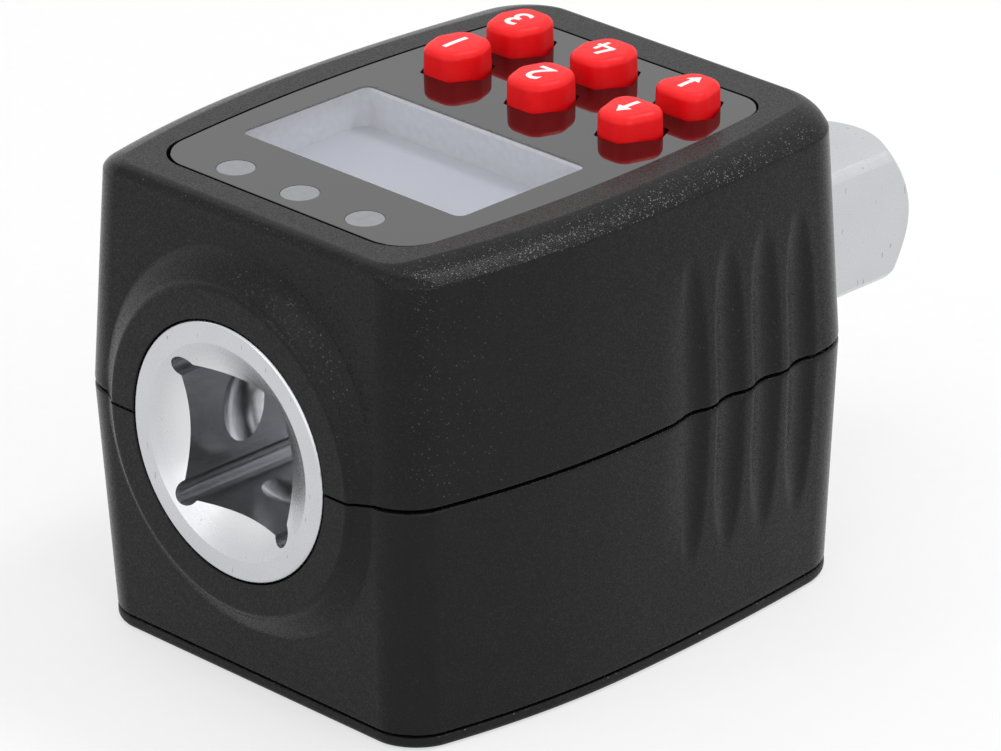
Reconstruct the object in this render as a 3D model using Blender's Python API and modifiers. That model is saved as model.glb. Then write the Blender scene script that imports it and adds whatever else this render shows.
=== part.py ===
"""A hand-held digital torque adapter: a steel drive shaft in a moulded housing with display and keys.

X points to the right as seen from the socket end, Y runs along the drive axis to the male square, Z is up.
The origin is the centre of the flat base, straight under the drive axis.
"""

import math
from collections import namedtuple

import bmesh
import bpy
from mathutils import Matrix, Vector

MM = 0.001

# Clearances
GAP = 0.3 * MM
FILM_GAP = 0.2 * MM
PARTING_GAP = 0.4 * MM
KEY_GAP = 0.4 * MM
RING_GAP = 0.5 * MM

# Heights above the base
AXIS_Z = 34.6 * MM
SHOULDER_Z = 64.3 * MM
RIM_Z = 66.6 * MM
COVER_TOP_Z = 1.7 * MM
SHELL_BASE_Z = COVER_TOP_Z + GAP

# Battery bay, whose cells lie across the housing and set its width
CELL_RADIUS = 5.25 * MM
CELL_LENGTH = 44.5 * MM
CELL_NUB_RADIUS = 1.9 * MM
CELL_NUB = 0.9 * MM
CELL_Z = 9.1 * MM
CELL_SPACE = 0.5 * MM
BAY_END_SPACE = 3.4 * MM
BAY_WALL = 1.6 * MM
SIDE_SPACE = 8.35 * MM

# Housing
WALL = 2.4 * MM
FLOOR = 2.4 * MM
FRONT_TAPER = 5.5 * MM
REAR_TAPER = 3.0 * MM
RIM_ROUND = 1.6 * MM
CORNER_STEPS = 4
SIDE_STEPS = 7
Plan = namedtuple("Plan", "front rear front_half middle middle_half rear_half front_corner rear_corner")
HALF_WIDTH = CELL_LENGTH / 2 + BAY_END_SPACE + BAY_WALL + SIDE_SPACE
BODY = Plan(
    front=-41.2 * MM,
    rear=41.6 * MM,
    front_half=HALF_WIDTH - FRONT_TAPER,
    middle=-4.0 * MM,
    middle_half=HALF_WIDTH,
    rear_half=HALF_WIDTH - REAR_TAPER,
    front_corner=5.2 * MM,
    rear_corner=8.0 * MM,
)
# The outer edge of the flat rim, which the bevelled shoulder climbs to
SHOULDER_FRONT = 5.7 * MM
SHOULDER_MIDDLE = 5.6 * MM
SHOULDER_REAR = 7.6 * MM
SHOULDER_SHIFT = 1.5 * MM
RIM = BODY._replace(
    front_half=BODY.front_half - SHOULDER_FRONT,
    middle=BODY.middle + SHOULDER_SHIFT,
    middle_half=BODY.middle_half - SHOULDER_MIDDLE,
    rear_half=BODY.rear_half - SHOULDER_REAR,
    front_corner=2.5 * MM,
    rear_corner=5.0 * MM,
)
# Side, front and rear draft of each shell between the parting plane and its far edge
UPPER_DRAFT = (1.4 * MM, 2.0 * MM, 0.9 * MM)
LOWER_DRAFT = (1.6 * MM, 1.6 * MM, 0.8 * MM)

# Flutes on both sides of the housing
FLUTE_COUNT = 4
FLUTE_FIRST_Y = 6.7 * MM
FLUTE_PITCH = 7.25 * MM
FLUTE_RADIUS = 5.4 * MM
FLUTE_DEPTH = 0.75 * MM
FLUTE_HALF_LENGTH = 21.5 * MM

# Shaft
SHAFT_FRONT_Y = -43.0 * MM
DRIVE_END_Y = 77.0 * MM
HEAD_RADIUS = 17.7 * MM
HEAD_LENGTH = 31.0 * MM
HEAD_EDGE = 0.5 * MM
WAIST_RADIUS = 11.0 * MM
WAIST_END_Y = 17.0 * MM
JOURNAL_RADIUS = 15.0 * MM
FLANGE_START_Y = 20.2 * MM
FLANGE_LENGTH = 4.8 * MM
FLANGE_RADIUS = 19.5 * MM
FLANGE_FLAT = 16.0 * MM
DRIVE_SQUARE = 19.05 * MM
DRIVE_LENGTH = 26.0 * MM
DRIVE_TURNED_RADIUS = 12.65 * MM
DRIVE_END_RADIUS = 8.9 * MM
SOCKET_SQUARE = 19.3 * MM
SOCKET_DEPTH = 26.0 * MM
SOCKET_MOUTH_RADIUS = 14.8 * MM
SOCKET_CHAMFER_DEPTH = 2.6 * MM
RELIEF_RADIUS = 1.65 * MM
RELIEF_REACH = 14.25 * MM
GROOVE_Y = 12.0 * MM
GROOVE_RADIUS = 11.0 * MM
GROOVE_SECTION = 5.46 * MM
GROOVE_HALF_WIDTH = 4.3 * MM
TURN_STEPS = 32
HIDDEN_STEPS = 20
CELL_STEPS = 16
SCREW_STEPS = 6

# Collars and bushes round the shaft
COLLAR_RADIUS = 22.6 * MM
COLLAR_FLARE = 3.0 * MM
COLLAR_ROOT = 1.6 * MM
COLLAR_RISE = 1.7 * MM
COLLAR_RECESS = 0.1 * MM
COLLAR_LIP = 0.7 * MM
REAR_COLLAR_RADIUS = 19.6 * MM
CARRIER_WALL = 2.7 * MM
CARRIER_END = 1.2 * MM
BUSH_WALL = 2.0 * MM
BUSH_LENGTH = 4.2 * MM
FRONT_BUSH_Y = -37.8 * MM
REAR_BUSH_Y = 37.4 * MM

# Display panel
PANEL_RECESS = 0.1 * MM
PANEL_THICKNESS = 1.0 * MM
MASK_THICKNESS = 0.3 * MM
DECK = 1.8 * MM
RIM_FRONT = 1.2 * MM
RIM_MIDDLE = 4.35 * MM
RIM_REAR = 1.8 * MM
POCKET = Plan(
    front=-33.9 * MM,
    rear=33.9 * MM,
    front_half=RIM.front_half - RIM_FRONT,
    middle=-1.0 * MM,
    middle_half=RIM.middle_half - RIM_MIDDLE,
    rear_half=RIM.rear_half - RIM_REAR,
    front_corner=5.5 * MM,
    rear_corner=4.5 * MM,
)
WINDOW_SIDE = 5.25 * MM
WINDOW_WIDTH = 2 * (POCKET.middle_half - WINDOW_SIDE)
WINDOW_LENGTH = 23.0 * MM
WINDOW_Y = -9.1 * MM
WINDOW_MARGIN = 0.3 * MM
LAMP_RADIUS = 2.5 * MM
LAMP_STEPS = 12
LAMP_PITCH = 0.517 * POCKET.front_half
LAMP_Y = -29.1 * MM
PANEL_TOP_Z = RIM_Z - PANEL_RECESS
PANEL_BASE_Z = PANEL_TOP_Z - PANEL_THICKNESS
MASK_TOP_Z = PANEL_BASE_Z - FILM_GAP
MASK_BASE_Z = MASK_TOP_Z - MASK_THICKNESS
DECK_TOP_Z = MASK_BASE_Z - GAP
DECK_BASE_Z = DECK_TOP_Z - DECK

# Keys
KEY_SIDE = 9.95 * MM
KEY_COLUMN = POCKET.middle_half - KEY_SIDE
KEY_FRONT_ROW_Y = 14.7 * MM
KEY_BACK_ROW_Y = 26.4 * MM
KEY_HEIGHT = 3.8 * MM
KEY_TRAVEL = 1.0 * MM
KEY_CORNER = 1.5 * MM
KEY_EDGE = 1.0 * MM
KEY_LEAN = 0.12 * MM
KEY_FLANGE = 0.9 * MM
KEY_STEM_RADIUS = 1.5 * MM
KEY_HALF_FLAT = 2.0 * MM
KEY_HALF_WIDTH = 4.0 * MM
KEY_HALF_LENGTH = 4.1 * MM
ARROW_HALF_LENGTH = 3.6 * MM
ARROW_HALF_WIDTH = 3.7 * MM
ARROW_TIP_HALF = 0.8 * MM
MAT_THICKNESS = 0.8 * MM
MAT_MARGIN = 1.3 * MM
MAT_HALF_WIDTH = KEY_COLUMN + KEY_HALF_WIDTH + KEY_FLANGE + MAT_MARGIN
MAT_CORNER = 1.5 * MM
MAT_SKIRT = 0.6 * MM

# Board and display module
BOARD_THICKNESS = 1.6 * MM
BOARD_TOP_Z = 58.6 * MM
BOARD_SIDE = 5.2 * MM
BOARD_HALF_WIDTH = BODY.middle_half - WALL - BOARD_SIDE
BOARD_HALF_LENGTH = 25.5 * MM
TONGUE_SIDE = 7.9 * MM
TONGUE_HALF_WIDTH = BODY.front_half - TONGUE_SIDE
FRONT_TONGUE_Y = -33.6 * MM
REAR_TONGUE_Y = 33.8 * MM
LCD_TOP_Z = 61.1 * MM
LCD_MARGIN = 1.2 * MM
LCD_CORNER = 0.5 * MM
LCD_FRAME_WALL = 1.0 * MM
LCD_COLLAR = 0.9 * MM
WINDOW_CORNER = 1.0 * MM
LAMP_FLANGE = 0.4 * MM
LAMP_FOOT = 0.9 * MM
LAMP_DOME = 1.6 * MM
SWITCH_FILM = 0.3 * MM
SWITCH_DOME_RADIUS = 2.2 * MM
SWITCH_DOME_HEIGHT = 0.3 * MM
SWITCH_MARGIN = 1.5 * MM
SOUNDER_RADIUS = 6.0 * MM
SOUNDER_HEIGHT = 3.8 * MM
SOUNDER_X = 13.0 * MM
SOUNDER_Y = 10.0 * MM

# Cradle in the lower shell that holds the shaft's squared flange
CRADLE_PLATE = 2.0 * MM
CRADLE_CHEEK = 2.5 * MM
CRADLE_SIDE = 3.0 * MM

# Bosses and screws
HOUSING_BOSS_SIDE = 9.1 * MM
HOUSING_BOSS_X = BODY.middle_half - HOUSING_BOSS_SIDE
HOUSING_BOSS_Y = 30.0 * MM
HOUSING_BOSS_RADIUS = 3.6 * MM
HOUSING_SCREW_RADIUS = 1.4 * MM
HOUSING_SCREW_HEAD_RADIUS = 2.7 * MM
HOUSING_SCREW_HEAD = 1.8 * MM
HOUSING_SEAT_Z = 8.0 * MM
HOUSING_SCREW_REACH = 9.0 * MM
COVER_SCREW_SIDE = 13.6 * MM
COVER_SCREW_X = BODY.middle_half - COVER_SCREW_SIDE
COVER_SCREW_Y = 35.2 * MM
COVER_BOSS_RADIUS = 3.0 * MM
COVER_BOSS_TOP_Z = 10.0 * MM
COVER_SCREW_RADIUS = 1.0 * MM
COVER_SCREW_HEAD_RADIUS = 2.2 * MM
COVER_SCREW_HEAD = 1.1 * MM
COVER_SCREW_LENGTH = 7.2 * MM
COVER_SCREW_BASE_Z = 0.1 * MM
BOARD_BOSS_RADIUS = 2.0 * MM
BOARD_SCREW_SPACE = 0.7 * MM
BOARD_SCREW_EDGE = 2.3 * MM
BOARD_SCREW_SPOTS = (
    (LAMP_PITCH + LAMP_RADIUS + LAMP_FLANGE + BOARD_BOSS_RADIUS + BOARD_SCREW_SPACE, -30.6 * MM),
    (BOARD_HALF_WIDTH - BOARD_SCREW_EDGE, 6.4 * MM),
)
BOARD_SCREW_RADIUS = 0.9 * MM
BOARD_SCREW_HEAD_RADIUS = 1.8 * MM
BOARD_SCREW_HEAD = 1.4 * MM
BOARD_SCREW_REACH = 2.6 * MM

# Contacts and leads
CONTACT_THICKNESS = 0.5 * MM
CONTACT_SPRING_WIRE = 0.4 * MM
CONTACT_SPRING_RADIUS = 2.4 * MM
LEAD_RADIUS = 0.55 * MM
LEAD_INSET = 1.2 * MM
LEAD_TUCK = 0.5 * MM
LEAD_SWAY = 1.4 * MM
GAUGE_LEAD_REACH = 7.5 * MM
RIB_WIDTH = 2.0 * MM

# Detent
BALL_RADIUS = 3.2 * MM
BALL_PROUD = 1.5 * MM
BALL_TRAVEL = 1.3 * MM
BALL_CLEARANCE = 0.1 * MM
DETENT_Y = 64.0 * MM
DETENT_FLOOR_X = 2.6 * MM
SPRING_WIRE = 0.35 * MM
SPRING_RADIUS = 2.3 * MM
SPRING_TURNS = 3

# Strain gauges
GAUGE_Y = 1.0 * MM
GAUGE_LENGTH = 9.0 * MM
GAUGE_WIDTH = 6.0 * MM
GAUGE_THICKNESS = 0.25 * MM
GAUGE_FLAT = 10.2 * MM
GAUGE_FLAT_LENGTH = 13.0 * MM

# Cover seal
SEAL_WIDTH = 1.6 * MM
SEAL_HEIGHT = 0.8 * MM
SEAL_MARGIN = 1.8 * MM

COLOURS = {
    "housing": ((0.022, 0.022, 0.023), 0.62, 0.0),
    "cover": ((0.018, 0.018, 0.019), 0.66, 0.0),
    "panel": ((0.60, 0.62, 0.65), 0.08, 0.0),
    "mask": ((0.15, 0.15, 0.16), 0.25, 0.0),
    "display": ((0.42, 0.45, 0.50), 0.20, 0.0),
    "frame": ((0.20, 0.21, 0.23), 0.45, 0.0),
    "lamp": ((0.55, 0.57, 0.60), 0.20, 0.0),
    "key": ((0.80, 0.010, 0.020), 0.45, 0.0),
    "mat": ((0.60, 0.010, 0.018), 0.60, 0.0),
    "board": ((0.02, 0.16, 0.06), 0.45, 0.0),
    "steel": ((0.62, 0.62, 0.64), 0.28, 1.0),
    "ball": ((0.70, 0.70, 0.72), 0.12, 1.0),
    "zinc": ((0.55, 0.56, 0.58), 0.35, 1.0),
    "foil": ((0.72, 0.42, 0.16), 0.35, 0.6),
    "bush": ((0.03, 0.03, 0.03), 0.70, 0.0),
    "cell": ((0.04, 0.04, 0.05), 0.35, 0.2),
    "red_wire": ((0.55, 0.02, 0.02), 0.50, 0.0),
    "black_wire": ((0.02, 0.02, 0.02), 0.50, 0.0),
}


def clear_scene():
    for obj in list(bpy.data.objects):
        bpy.data.objects.remove(obj, do_unlink=True)


def new_collection(name):
    collection = bpy.data.collections.new(name)
    bpy.context.scene.collection.children.link(collection)
    return collection


def material(name):
    colour, roughness, metallic = COLOURS[name]
    found = bpy.data.materials.get(name)
    if found:
        return found
    made = bpy.data.materials.new(name)
    made.use_nodes = True
    shader = made.node_tree.nodes["Principled BSDF"]
    shader.inputs["Base Color"].default_value = (*colour, 1.0)
    shader.inputs["Roughness"].default_value = roughness
    shader.inputs["Metallic"].default_value = metallic
    made.diffuse_color = (*colour, 1.0)
    return made


def object_from(name, bm):
    """An object from a bmesh, with its normals facing out and its round faces smooth."""
    bmesh.ops.recalc_face_normals(bm, faces=bm.faces)
    mesh = bpy.data.meshes.new(name)
    bm.to_mesh(mesh)
    bm.free()
    mesh.shade_smooth()
    mesh.set_sharp_from_angle(angle=math.radians(35))
    return bpy.data.objects.new(name, mesh)


def part(obj, colour):
    parts.objects.link(obj)
    obj.data.materials.clear()
    obj.data.materials.append(material(colour))
    return obj


def tool(obj):
    """A cutter or a piece that is joined to another by a Boolean."""
    cutters.objects.link(obj)
    obj.hide_render = True
    obj.display_type = "WIRE"
    return obj


def combine(target, operation, *others):
    for other in others:
        modifier = target.modifiers.new(other.name, "BOOLEAN")
        modifier.operation = operation
        modifier.solver = "EXACT"
        modifier.object = other
    return join_flat_faces(target)


def add_loft(bm, rings):
    """Faces between rings that have the same number of points, with a cap on each end."""
    loops = [[bm.verts.new(point) for point in ring] for ring in rings]
    for low, high in zip(loops, loops[1:]):
        count = len(low)
        for i in range(count):
            j = (i + 1) % count
            bm.faces.new((low[i], low[j], high[j], high[i]))
    bm.faces.new(list(reversed(loops[0])))
    bm.faces.new(loops[-1])


def loft(name, rings):
    bm = bmesh.new()
    add_loft(bm, rings)
    return object_from(name, bm)


def add_box(bm, low, high):
    for vert in bmesh.ops.create_cube(bm, size=2.0)["verts"]:
        vert.co = [high[i] if vert.co[i] > 0 else low[i] for i in range(3)]


def boxes(name, *corner_pairs):
    bm = bmesh.new()
    for low, high in corner_pairs:
        add_box(bm, low, high)
    return object_from(name, bm)


def add_rod(bm, x, y, low, high, radius, steps=12, top_radius=None):
    """An upright cylinder, or a cone where the top has another radius."""
    place = Matrix.Translation((x, y, 0.0))
    top = radius if top_radius is None else top_radius
    made = bmesh.ops.create_cone(
        bm, cap_ends=True, segments=steps, radius1=radius, radius2=top, depth=2.0, matrix=place
    )
    for vert in made["verts"]:
        vert.co.z = high if vert.co.z > 0 else low


def rods(name, spots, low, high, radius, steps=12):
    bm = bmesh.new()
    for x, y in spots:
        add_rod(bm, x, y, low, high, radius, steps)
    return object_from(name, bm)


def join_flat_faces(obj):
    """Joins the faces that lie in one plane, so that each flat end is one face."""
    flat = obj.modifiers.new("Flat faces", "DECIMATE")
    flat.decimate_type = "DISSOLVE"
    flat.angle_limit = math.radians(0.4)
    return obj


def turned(name, profile, axis="Y", centre=(0.0, 0.0, AXIS_Z), steps=TURN_STEPS):
    """A solid of revolution. The profile lists radius and place along the axis through the centre."""
    if profile[0][1] < profile[-1][1]:
        profile = profile[::-1]
    outline = [(0.0, profile[0][1]), *profile, (0.0, profile[-1][1])]
    if axis == "X":
        points = [(along, radius, 0.0) for radius, along in outline]
    elif axis == "Y":
        points = [(radius, along, 0.0) for radius, along in outline]
    else:
        points = [(radius, 0.0, along) for radius, along in outline]
    mesh = bpy.data.meshes.new(name)
    mesh.from_pydata(points, [(i, i + 1) for i in range(len(points) - 1)], [])
    obj = bpy.data.objects.new(name, mesh)
    screw = obj.modifiers.new("Turn", "SCREW")
    screw.axis = axis
    screw.angle = math.tau
    screw.steps = steps
    screw.render_steps = steps
    screw.use_merge_vertices = True
    screw.merge_threshold = 0.00001
    screw.use_smooth_shade = True
    join_flat_faces(obj)
    obj.location = centre
    return obj


def half_width(plan, y):
    """Half of the body's width at y: bulged towards the middle, and straighter behind it."""
    if y < plan.middle:
        share = (plan.middle - y) / (plan.middle - plan.front)
        end = plan.front_half
    else:
        share = (y - plan.middle) / (plan.rear - plan.middle)
        end = plan.rear_half
    return end + (plan.middle_half - end) * (1 - share**2)


def plan_ring(plan, z, side=0.0, front=0.0, rear=0.0):
    """The plan's outline at height z, set in by the given amounts, with rounded corners."""
    near = plan.front + front
    far = plan.rear - rear
    right = []
    for k in range(CORNER_STEPS + 1):
        turn = math.pi / 2 * k / CORNER_STEPS
        y = near + plan.front_corner * (1 - math.cos(turn))
        right.append((half_width(plan, y) - side - plan.front_corner * (1 - math.sin(turn)), y))
    straight_start = near + plan.front_corner
    straight_end = far - plan.rear_corner
    for k in range(1, SIDE_STEPS):
        y = straight_start + (straight_end - straight_start) * k / SIDE_STEPS
        right.append((half_width(plan, y) - side, y))
    for k in reversed(range(CORNER_STEPS + 1)):
        turn = math.pi / 2 * k / CORNER_STEPS
        y = far - plan.rear_corner * (1 - math.cos(turn))
        right.append((half_width(plan, y) - side - plan.rear_corner * (1 - math.sin(turn)), y))
    left = [(-x, y) for x, y in reversed(right)]
    return [(x, y, z) for x, y in right + left]


def draft(z):
    """How far the side, front and rear walls lean in at height z."""
    if z >= AXIS_Z:
        share = (z - AXIS_Z) / (SHOULDER_Z - AXIS_Z)
        return [share * amount for amount in UPPER_DRAFT]
    share = (AXIS_Z - z) / (AXIS_Z - SHELL_BASE_Z)
    return [share * amount for amount in LOWER_DRAFT]


def body_ring(z, inset=0.0):
    side, front, rear = draft(z)
    return plan_ring(BODY, z, side + inset, front + inset, rear + inset)


def shoulder_ring(share):
    """The bevelled shoulder: it climbs to the rim on the sides and is round at the front and rear."""
    side, front, rear = draft(SHOULDER_Z)
    height = RIM_Z - SHOULDER_Z
    z = SHOULDER_Z + height * share
    rise = max(0.0, height * share - (height - RIM_ROUND))
    rounding = RIM_ROUND - math.sqrt(RIM_ROUND**2 - rise**2)
    low = plan_ring(BODY, z, side, front + rounding, rear + rounding)
    high = plan_ring(RIM, z, 0.0, front + rounding, rear + rounding)
    blend = 0.78 * share + 0.22 * share**4
    return [tuple(a + (b - a) * blend for a, b in zip(outer, inner)) for outer, inner in zip(low, high)]


def rounded_ring(core, radius, z, step=40.0):
    """A ring a radius away from a convex core outline that runs anticlockwise, with arcs at its corners."""
    count = len(core)
    ring = []
    for i in range(count):
        before = core[i - 1]
        here = core[i]
        after = core[(i + 1) % count]
        start = math.atan2(before[0] - here[0], here[1] - before[1])
        end = math.atan2(here[0] - after[0], after[1] - here[1])
        turn = (end - start) % math.tau
        steps = math.ceil(math.degrees(turn) / step - 0.01)
        for k in range(steps + 1):
            angle = start + turn * k / steps
            ring.append((here[0] + radius * math.cos(angle), here[1] + radius * math.sin(angle), z))
    return ring


def rectangle(width, length, corner, centre=(0.0, 0.0)):
    """The core outline of a rectangle that is rounded by the corner radius."""
    x = width / 2 - corner
    y = length / 2 - corner
    cx, cy = centre
    return [(cx - x, cy - y), (cx + x, cy - y), (cx + x, cy + y), (cx - x, cy + y)]


def moved(ring, x, y):
    return [(point[0] + x, point[1] + y, point[2]) for point in ring]


def window_ring(margin, z):
    """The outline of the display window, larger all round by the margin."""
    core = rectangle(WINDOW_WIDTH, WINDOW_LENGTH, WINDOW_CORNER, (0.0, WINDOW_Y))
    return rounded_ring(core, WINDOW_CORNER + margin, z)


def plain_key_core():
    x = KEY_HALF_WIDTH - KEY_CORNER
    y = KEY_HALF_LENGTH - KEY_CORNER
    flat = KEY_HALF_FLAT
    return [(-flat, -y), (flat, -y), (x, 0.0), (flat, y), (-flat, y), (-x, 0.0)]


def arrow_key_core(direction):
    """A rounded triangle that points along +Y or -Y."""
    x = ARROW_HALF_WIDTH - KEY_CORNER
    y = ARROW_HALF_LENGTH - KEY_CORNER
    tip = ARROW_TIP_HALF
    if direction > 0:
        return [(-x, -y), (x, -y), (tip, y), (-tip, y)]
    return [(-tip, -y), (tip, -y), (x, y), (-x, y)]


KEYS = {
    "key_unit": (-KEY_COLUMN, KEY_FRONT_ROW_Y, plain_key_core()),
    "key_peak": (0.0, KEY_FRONT_ROW_Y, plain_key_core()),
    "key_down": (KEY_COLUMN, KEY_FRONT_ROW_Y, arrow_key_core(-1)),
    "key_clear": (-KEY_COLUMN, KEY_BACK_ROW_Y, plain_key_core()),
    "key_memory": (0.0, KEY_BACK_ROW_Y, plain_key_core()),
    "key_up": (KEY_COLUMN, KEY_BACK_ROW_Y, arrow_key_core(1)),
}
FLANGE_TOP_Z = DECK_BASE_Z - GAP
FLANGE_BASE_Z = FLANGE_TOP_Z - MAT_THICKNESS
SWITCH_TOP_Z = BOARD_TOP_Z + FILM_GAP + SWITCH_FILM + SWITCH_DOME_HEIGHT
STEM_BASE_Z = SWITCH_TOP_Z + KEY_TRAVEL + 0.1 * MM


def key_holes(name, clearance):
    """Six upright prisms, one round each key, that cut its hole."""
    bm = bmesh.new()
    for x, y, core in KEYS.values():
        radius = KEY_CORNER + clearance
        rings = [moved(rounded_ring(core, radius, z), x, y) for z in (BOARD_TOP_Z, RIM_Z + KEY_HEIGHT)]
        add_loft(bm, rings)
    return tool(object_from(name, bm))


def make_keys():
    """Each key is one loft: stem, hidden flange, and a head with a soft rounded top."""
    top = PANEL_TOP_Z + KEY_HEIGHT
    for name, (x, y, core) in KEYS.items():
        outline = rounded_ring(core, KEY_CORNER, 0.0)
        angles = [math.atan2(point[1], point[0]) for point in outline]
        stem = [(KEY_STEM_RADIUS * math.cos(a), KEY_STEM_RADIUS * math.sin(a), STEM_BASE_Z) for a in angles]
        rings = [stem, [(px, py, FLANGE_BASE_Z) for px, py, _ in stem]]
        rings.append(rounded_ring(core, KEY_CORNER + KEY_FLANGE, FLANGE_BASE_Z))
        rings.append(rounded_ring(core, KEY_CORNER + KEY_FLANGE, FLANGE_TOP_Z))
        rings.append(rounded_ring(core, KEY_CORNER, FLANGE_TOP_Z))
        for turn in (0.0, 45.0, 90.0):
            slope = math.radians(turn)
            inset = KEY_LEAN + KEY_EDGE * (1 - math.cos(slope))
            z = top - KEY_EDGE * (1 - math.sin(slope))
            rings.append(rounded_ring(core, KEY_CORNER - inset, z))
        part(loft(name, rings), "key").location = (x, y, 0.0)


def flute_cutters(name, direction):
    """Grooves that follow the leaning side wall of one shell and fade out away from the parting plane."""
    lean = (UPPER_DRAFT[0] if direction > 0 else LOWER_DRAFT[0]) / (
        SHOULDER_Z - AXIS_Z if direction > 0 else AXIS_Z - SHELL_BASE_Z
    )
    bm = bmesh.new()
    stations = (-0.1, 0.5, 0.75, 0.9, 1.0, 1.1)
    for side in (-1, 1):
        for i in range(FLUTE_COUNT):
            y = FLUTE_FIRST_Y + i * FLUTE_PITCH
            wall = half_width(BODY, y)
            rings = []
            for share in stations:
                rise = share * FLUTE_HALF_LENGTH
                centre = wall - lean * rise - FLUTE_DEPTH + FLUTE_RADIUS
                radius = FLUTE_RADIUS - FLUTE_DEPTH * max(0.0, share) ** 4
                ring = []
                for turn in (-45.0, -22.5, 0.0, 22.5, 45.0):
                    angle = math.radians(turn)
                    ring.append((centre - radius * math.cos(angle), y + radius * math.sin(angle)))
                ring += [(centre, y + radius), (centre, y - radius)]
                rings.append([(side * px, py, AXIS_Z + direction * rise) for px, py in ring])
            add_loft(bm, rings)
    return tool(object_from(name, bm))


def collars(name):
    """The raised rings where the shaft leaves the housing, with a flared foot that runs into the wall."""
    lip = COLLAR_LIP
    foot = COLLAR_FLARE + COLLAR_ROOT
    front_face = SHAFT_FRONT_Y + COLLAR_RECESS
    front = [
        (COLLAR_RADIUS - 1.3 * lip, front_face),
        (COLLAR_RADIUS - 0.4 * lip, front_face + 0.2 * lip),
        (COLLAR_RADIUS + 0.6 * lip, front_face + lip),
        (COLLAR_RADIUS + COLLAR_FLARE * 0.45, front_face + COLLAR_RISE * 0.72),
        (COLLAR_RADIUS + COLLAR_FLARE, front_face + COLLAR_RISE + 0.86 * lip),
        (COLLAR_RADIUS + foot, BODY.front + 3.0 * lip),
    ]
    rear_face = BODY.rear + COLLAR_RISE - 2 * COLLAR_RECESS
    rear = [
        (REAR_COLLAR_RADIUS + foot, BODY.rear - 2.4 * lip),
        (REAR_COLLAR_RADIUS + COLLAR_FLARE, BODY.rear - 0.6 * lip),
        (REAR_COLLAR_RADIUS + 0.6 * lip, rear_face - 0.86 * lip),
        (REAR_COLLAR_RADIUS - 0.86 * lip, rear_face),
    ]
    return tool(turned(name + "_front", front)), tool(turned(name + "_rear", rear))


def carriers(name):
    """Solid rings inside the end walls, which the bushes sit in."""
    front_radius = HEAD_RADIUS + GAP + BUSH_WALL + GAP + CARRIER_WALL
    rear_radius = JOURNAL_RADIUS + GAP + BUSH_WALL + GAP + CARRIER_WALL
    reach = BUSH_LENGTH / 2 + GAP + CARRIER_END
    front = [(front_radius, BODY.front + 0.83 * WALL), (front_radius, FRONT_BUSH_Y + reach)]
    rear = [(rear_radius, REAR_BUSH_Y - reach), (rear_radius, BODY.rear - 0.63 * WALL)]
    return [
        tool(turned(name + "_front", front, steps=HIDDEN_STEPS)),
        tool(turned(name + "_rear", rear, steps=HIDDEN_STEPS)),
    ]


def shaft_way(name):
    """The space the shaft and its bushes take out of the shells."""
    front_bore = HEAD_RADIUS + RING_GAP
    rear_bore = JOURNAL_RADIUS + RING_GAP
    front_groove = HEAD_RADIUS + GAP + BUSH_WALL + GAP
    rear_groove = JOURNAL_RADIUS + GAP + BUSH_WALL + GAP
    half = BUSH_LENGTH / 2 + GAP
    head_end = SHAFT_FRONT_Y + HEAD_LENGTH + 2.0 * MM
    profile = [
        (front_bore, SHAFT_FRONT_Y - 2.0 * MM),
        (front_bore, FRONT_BUSH_Y - half),
        (front_groove, FRONT_BUSH_Y - half),
        (front_groove, FRONT_BUSH_Y + half),
        (front_bore, FRONT_BUSH_Y + half),
        (front_bore, head_end),
        (rear_bore, head_end),
        (rear_bore, REAR_BUSH_Y - half),
        (rear_groove, REAR_BUSH_Y - half),
        (rear_groove, REAR_BUSH_Y + half),
        (rear_bore, REAR_BUSH_Y + half),
        (rear_bore, BODY.rear + 6.0 * MM),
    ]
    return tool(turned(name, profile))


def corner_spots(x, y):
    return [(sx * x, sy * y) for sx in (-1, 1) for sy in (-1, 1)]


def board_screw_spots():
    return [(side * x, y) for x, y in BOARD_SCREW_SPOTS for side in (-1, 1)]


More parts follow.
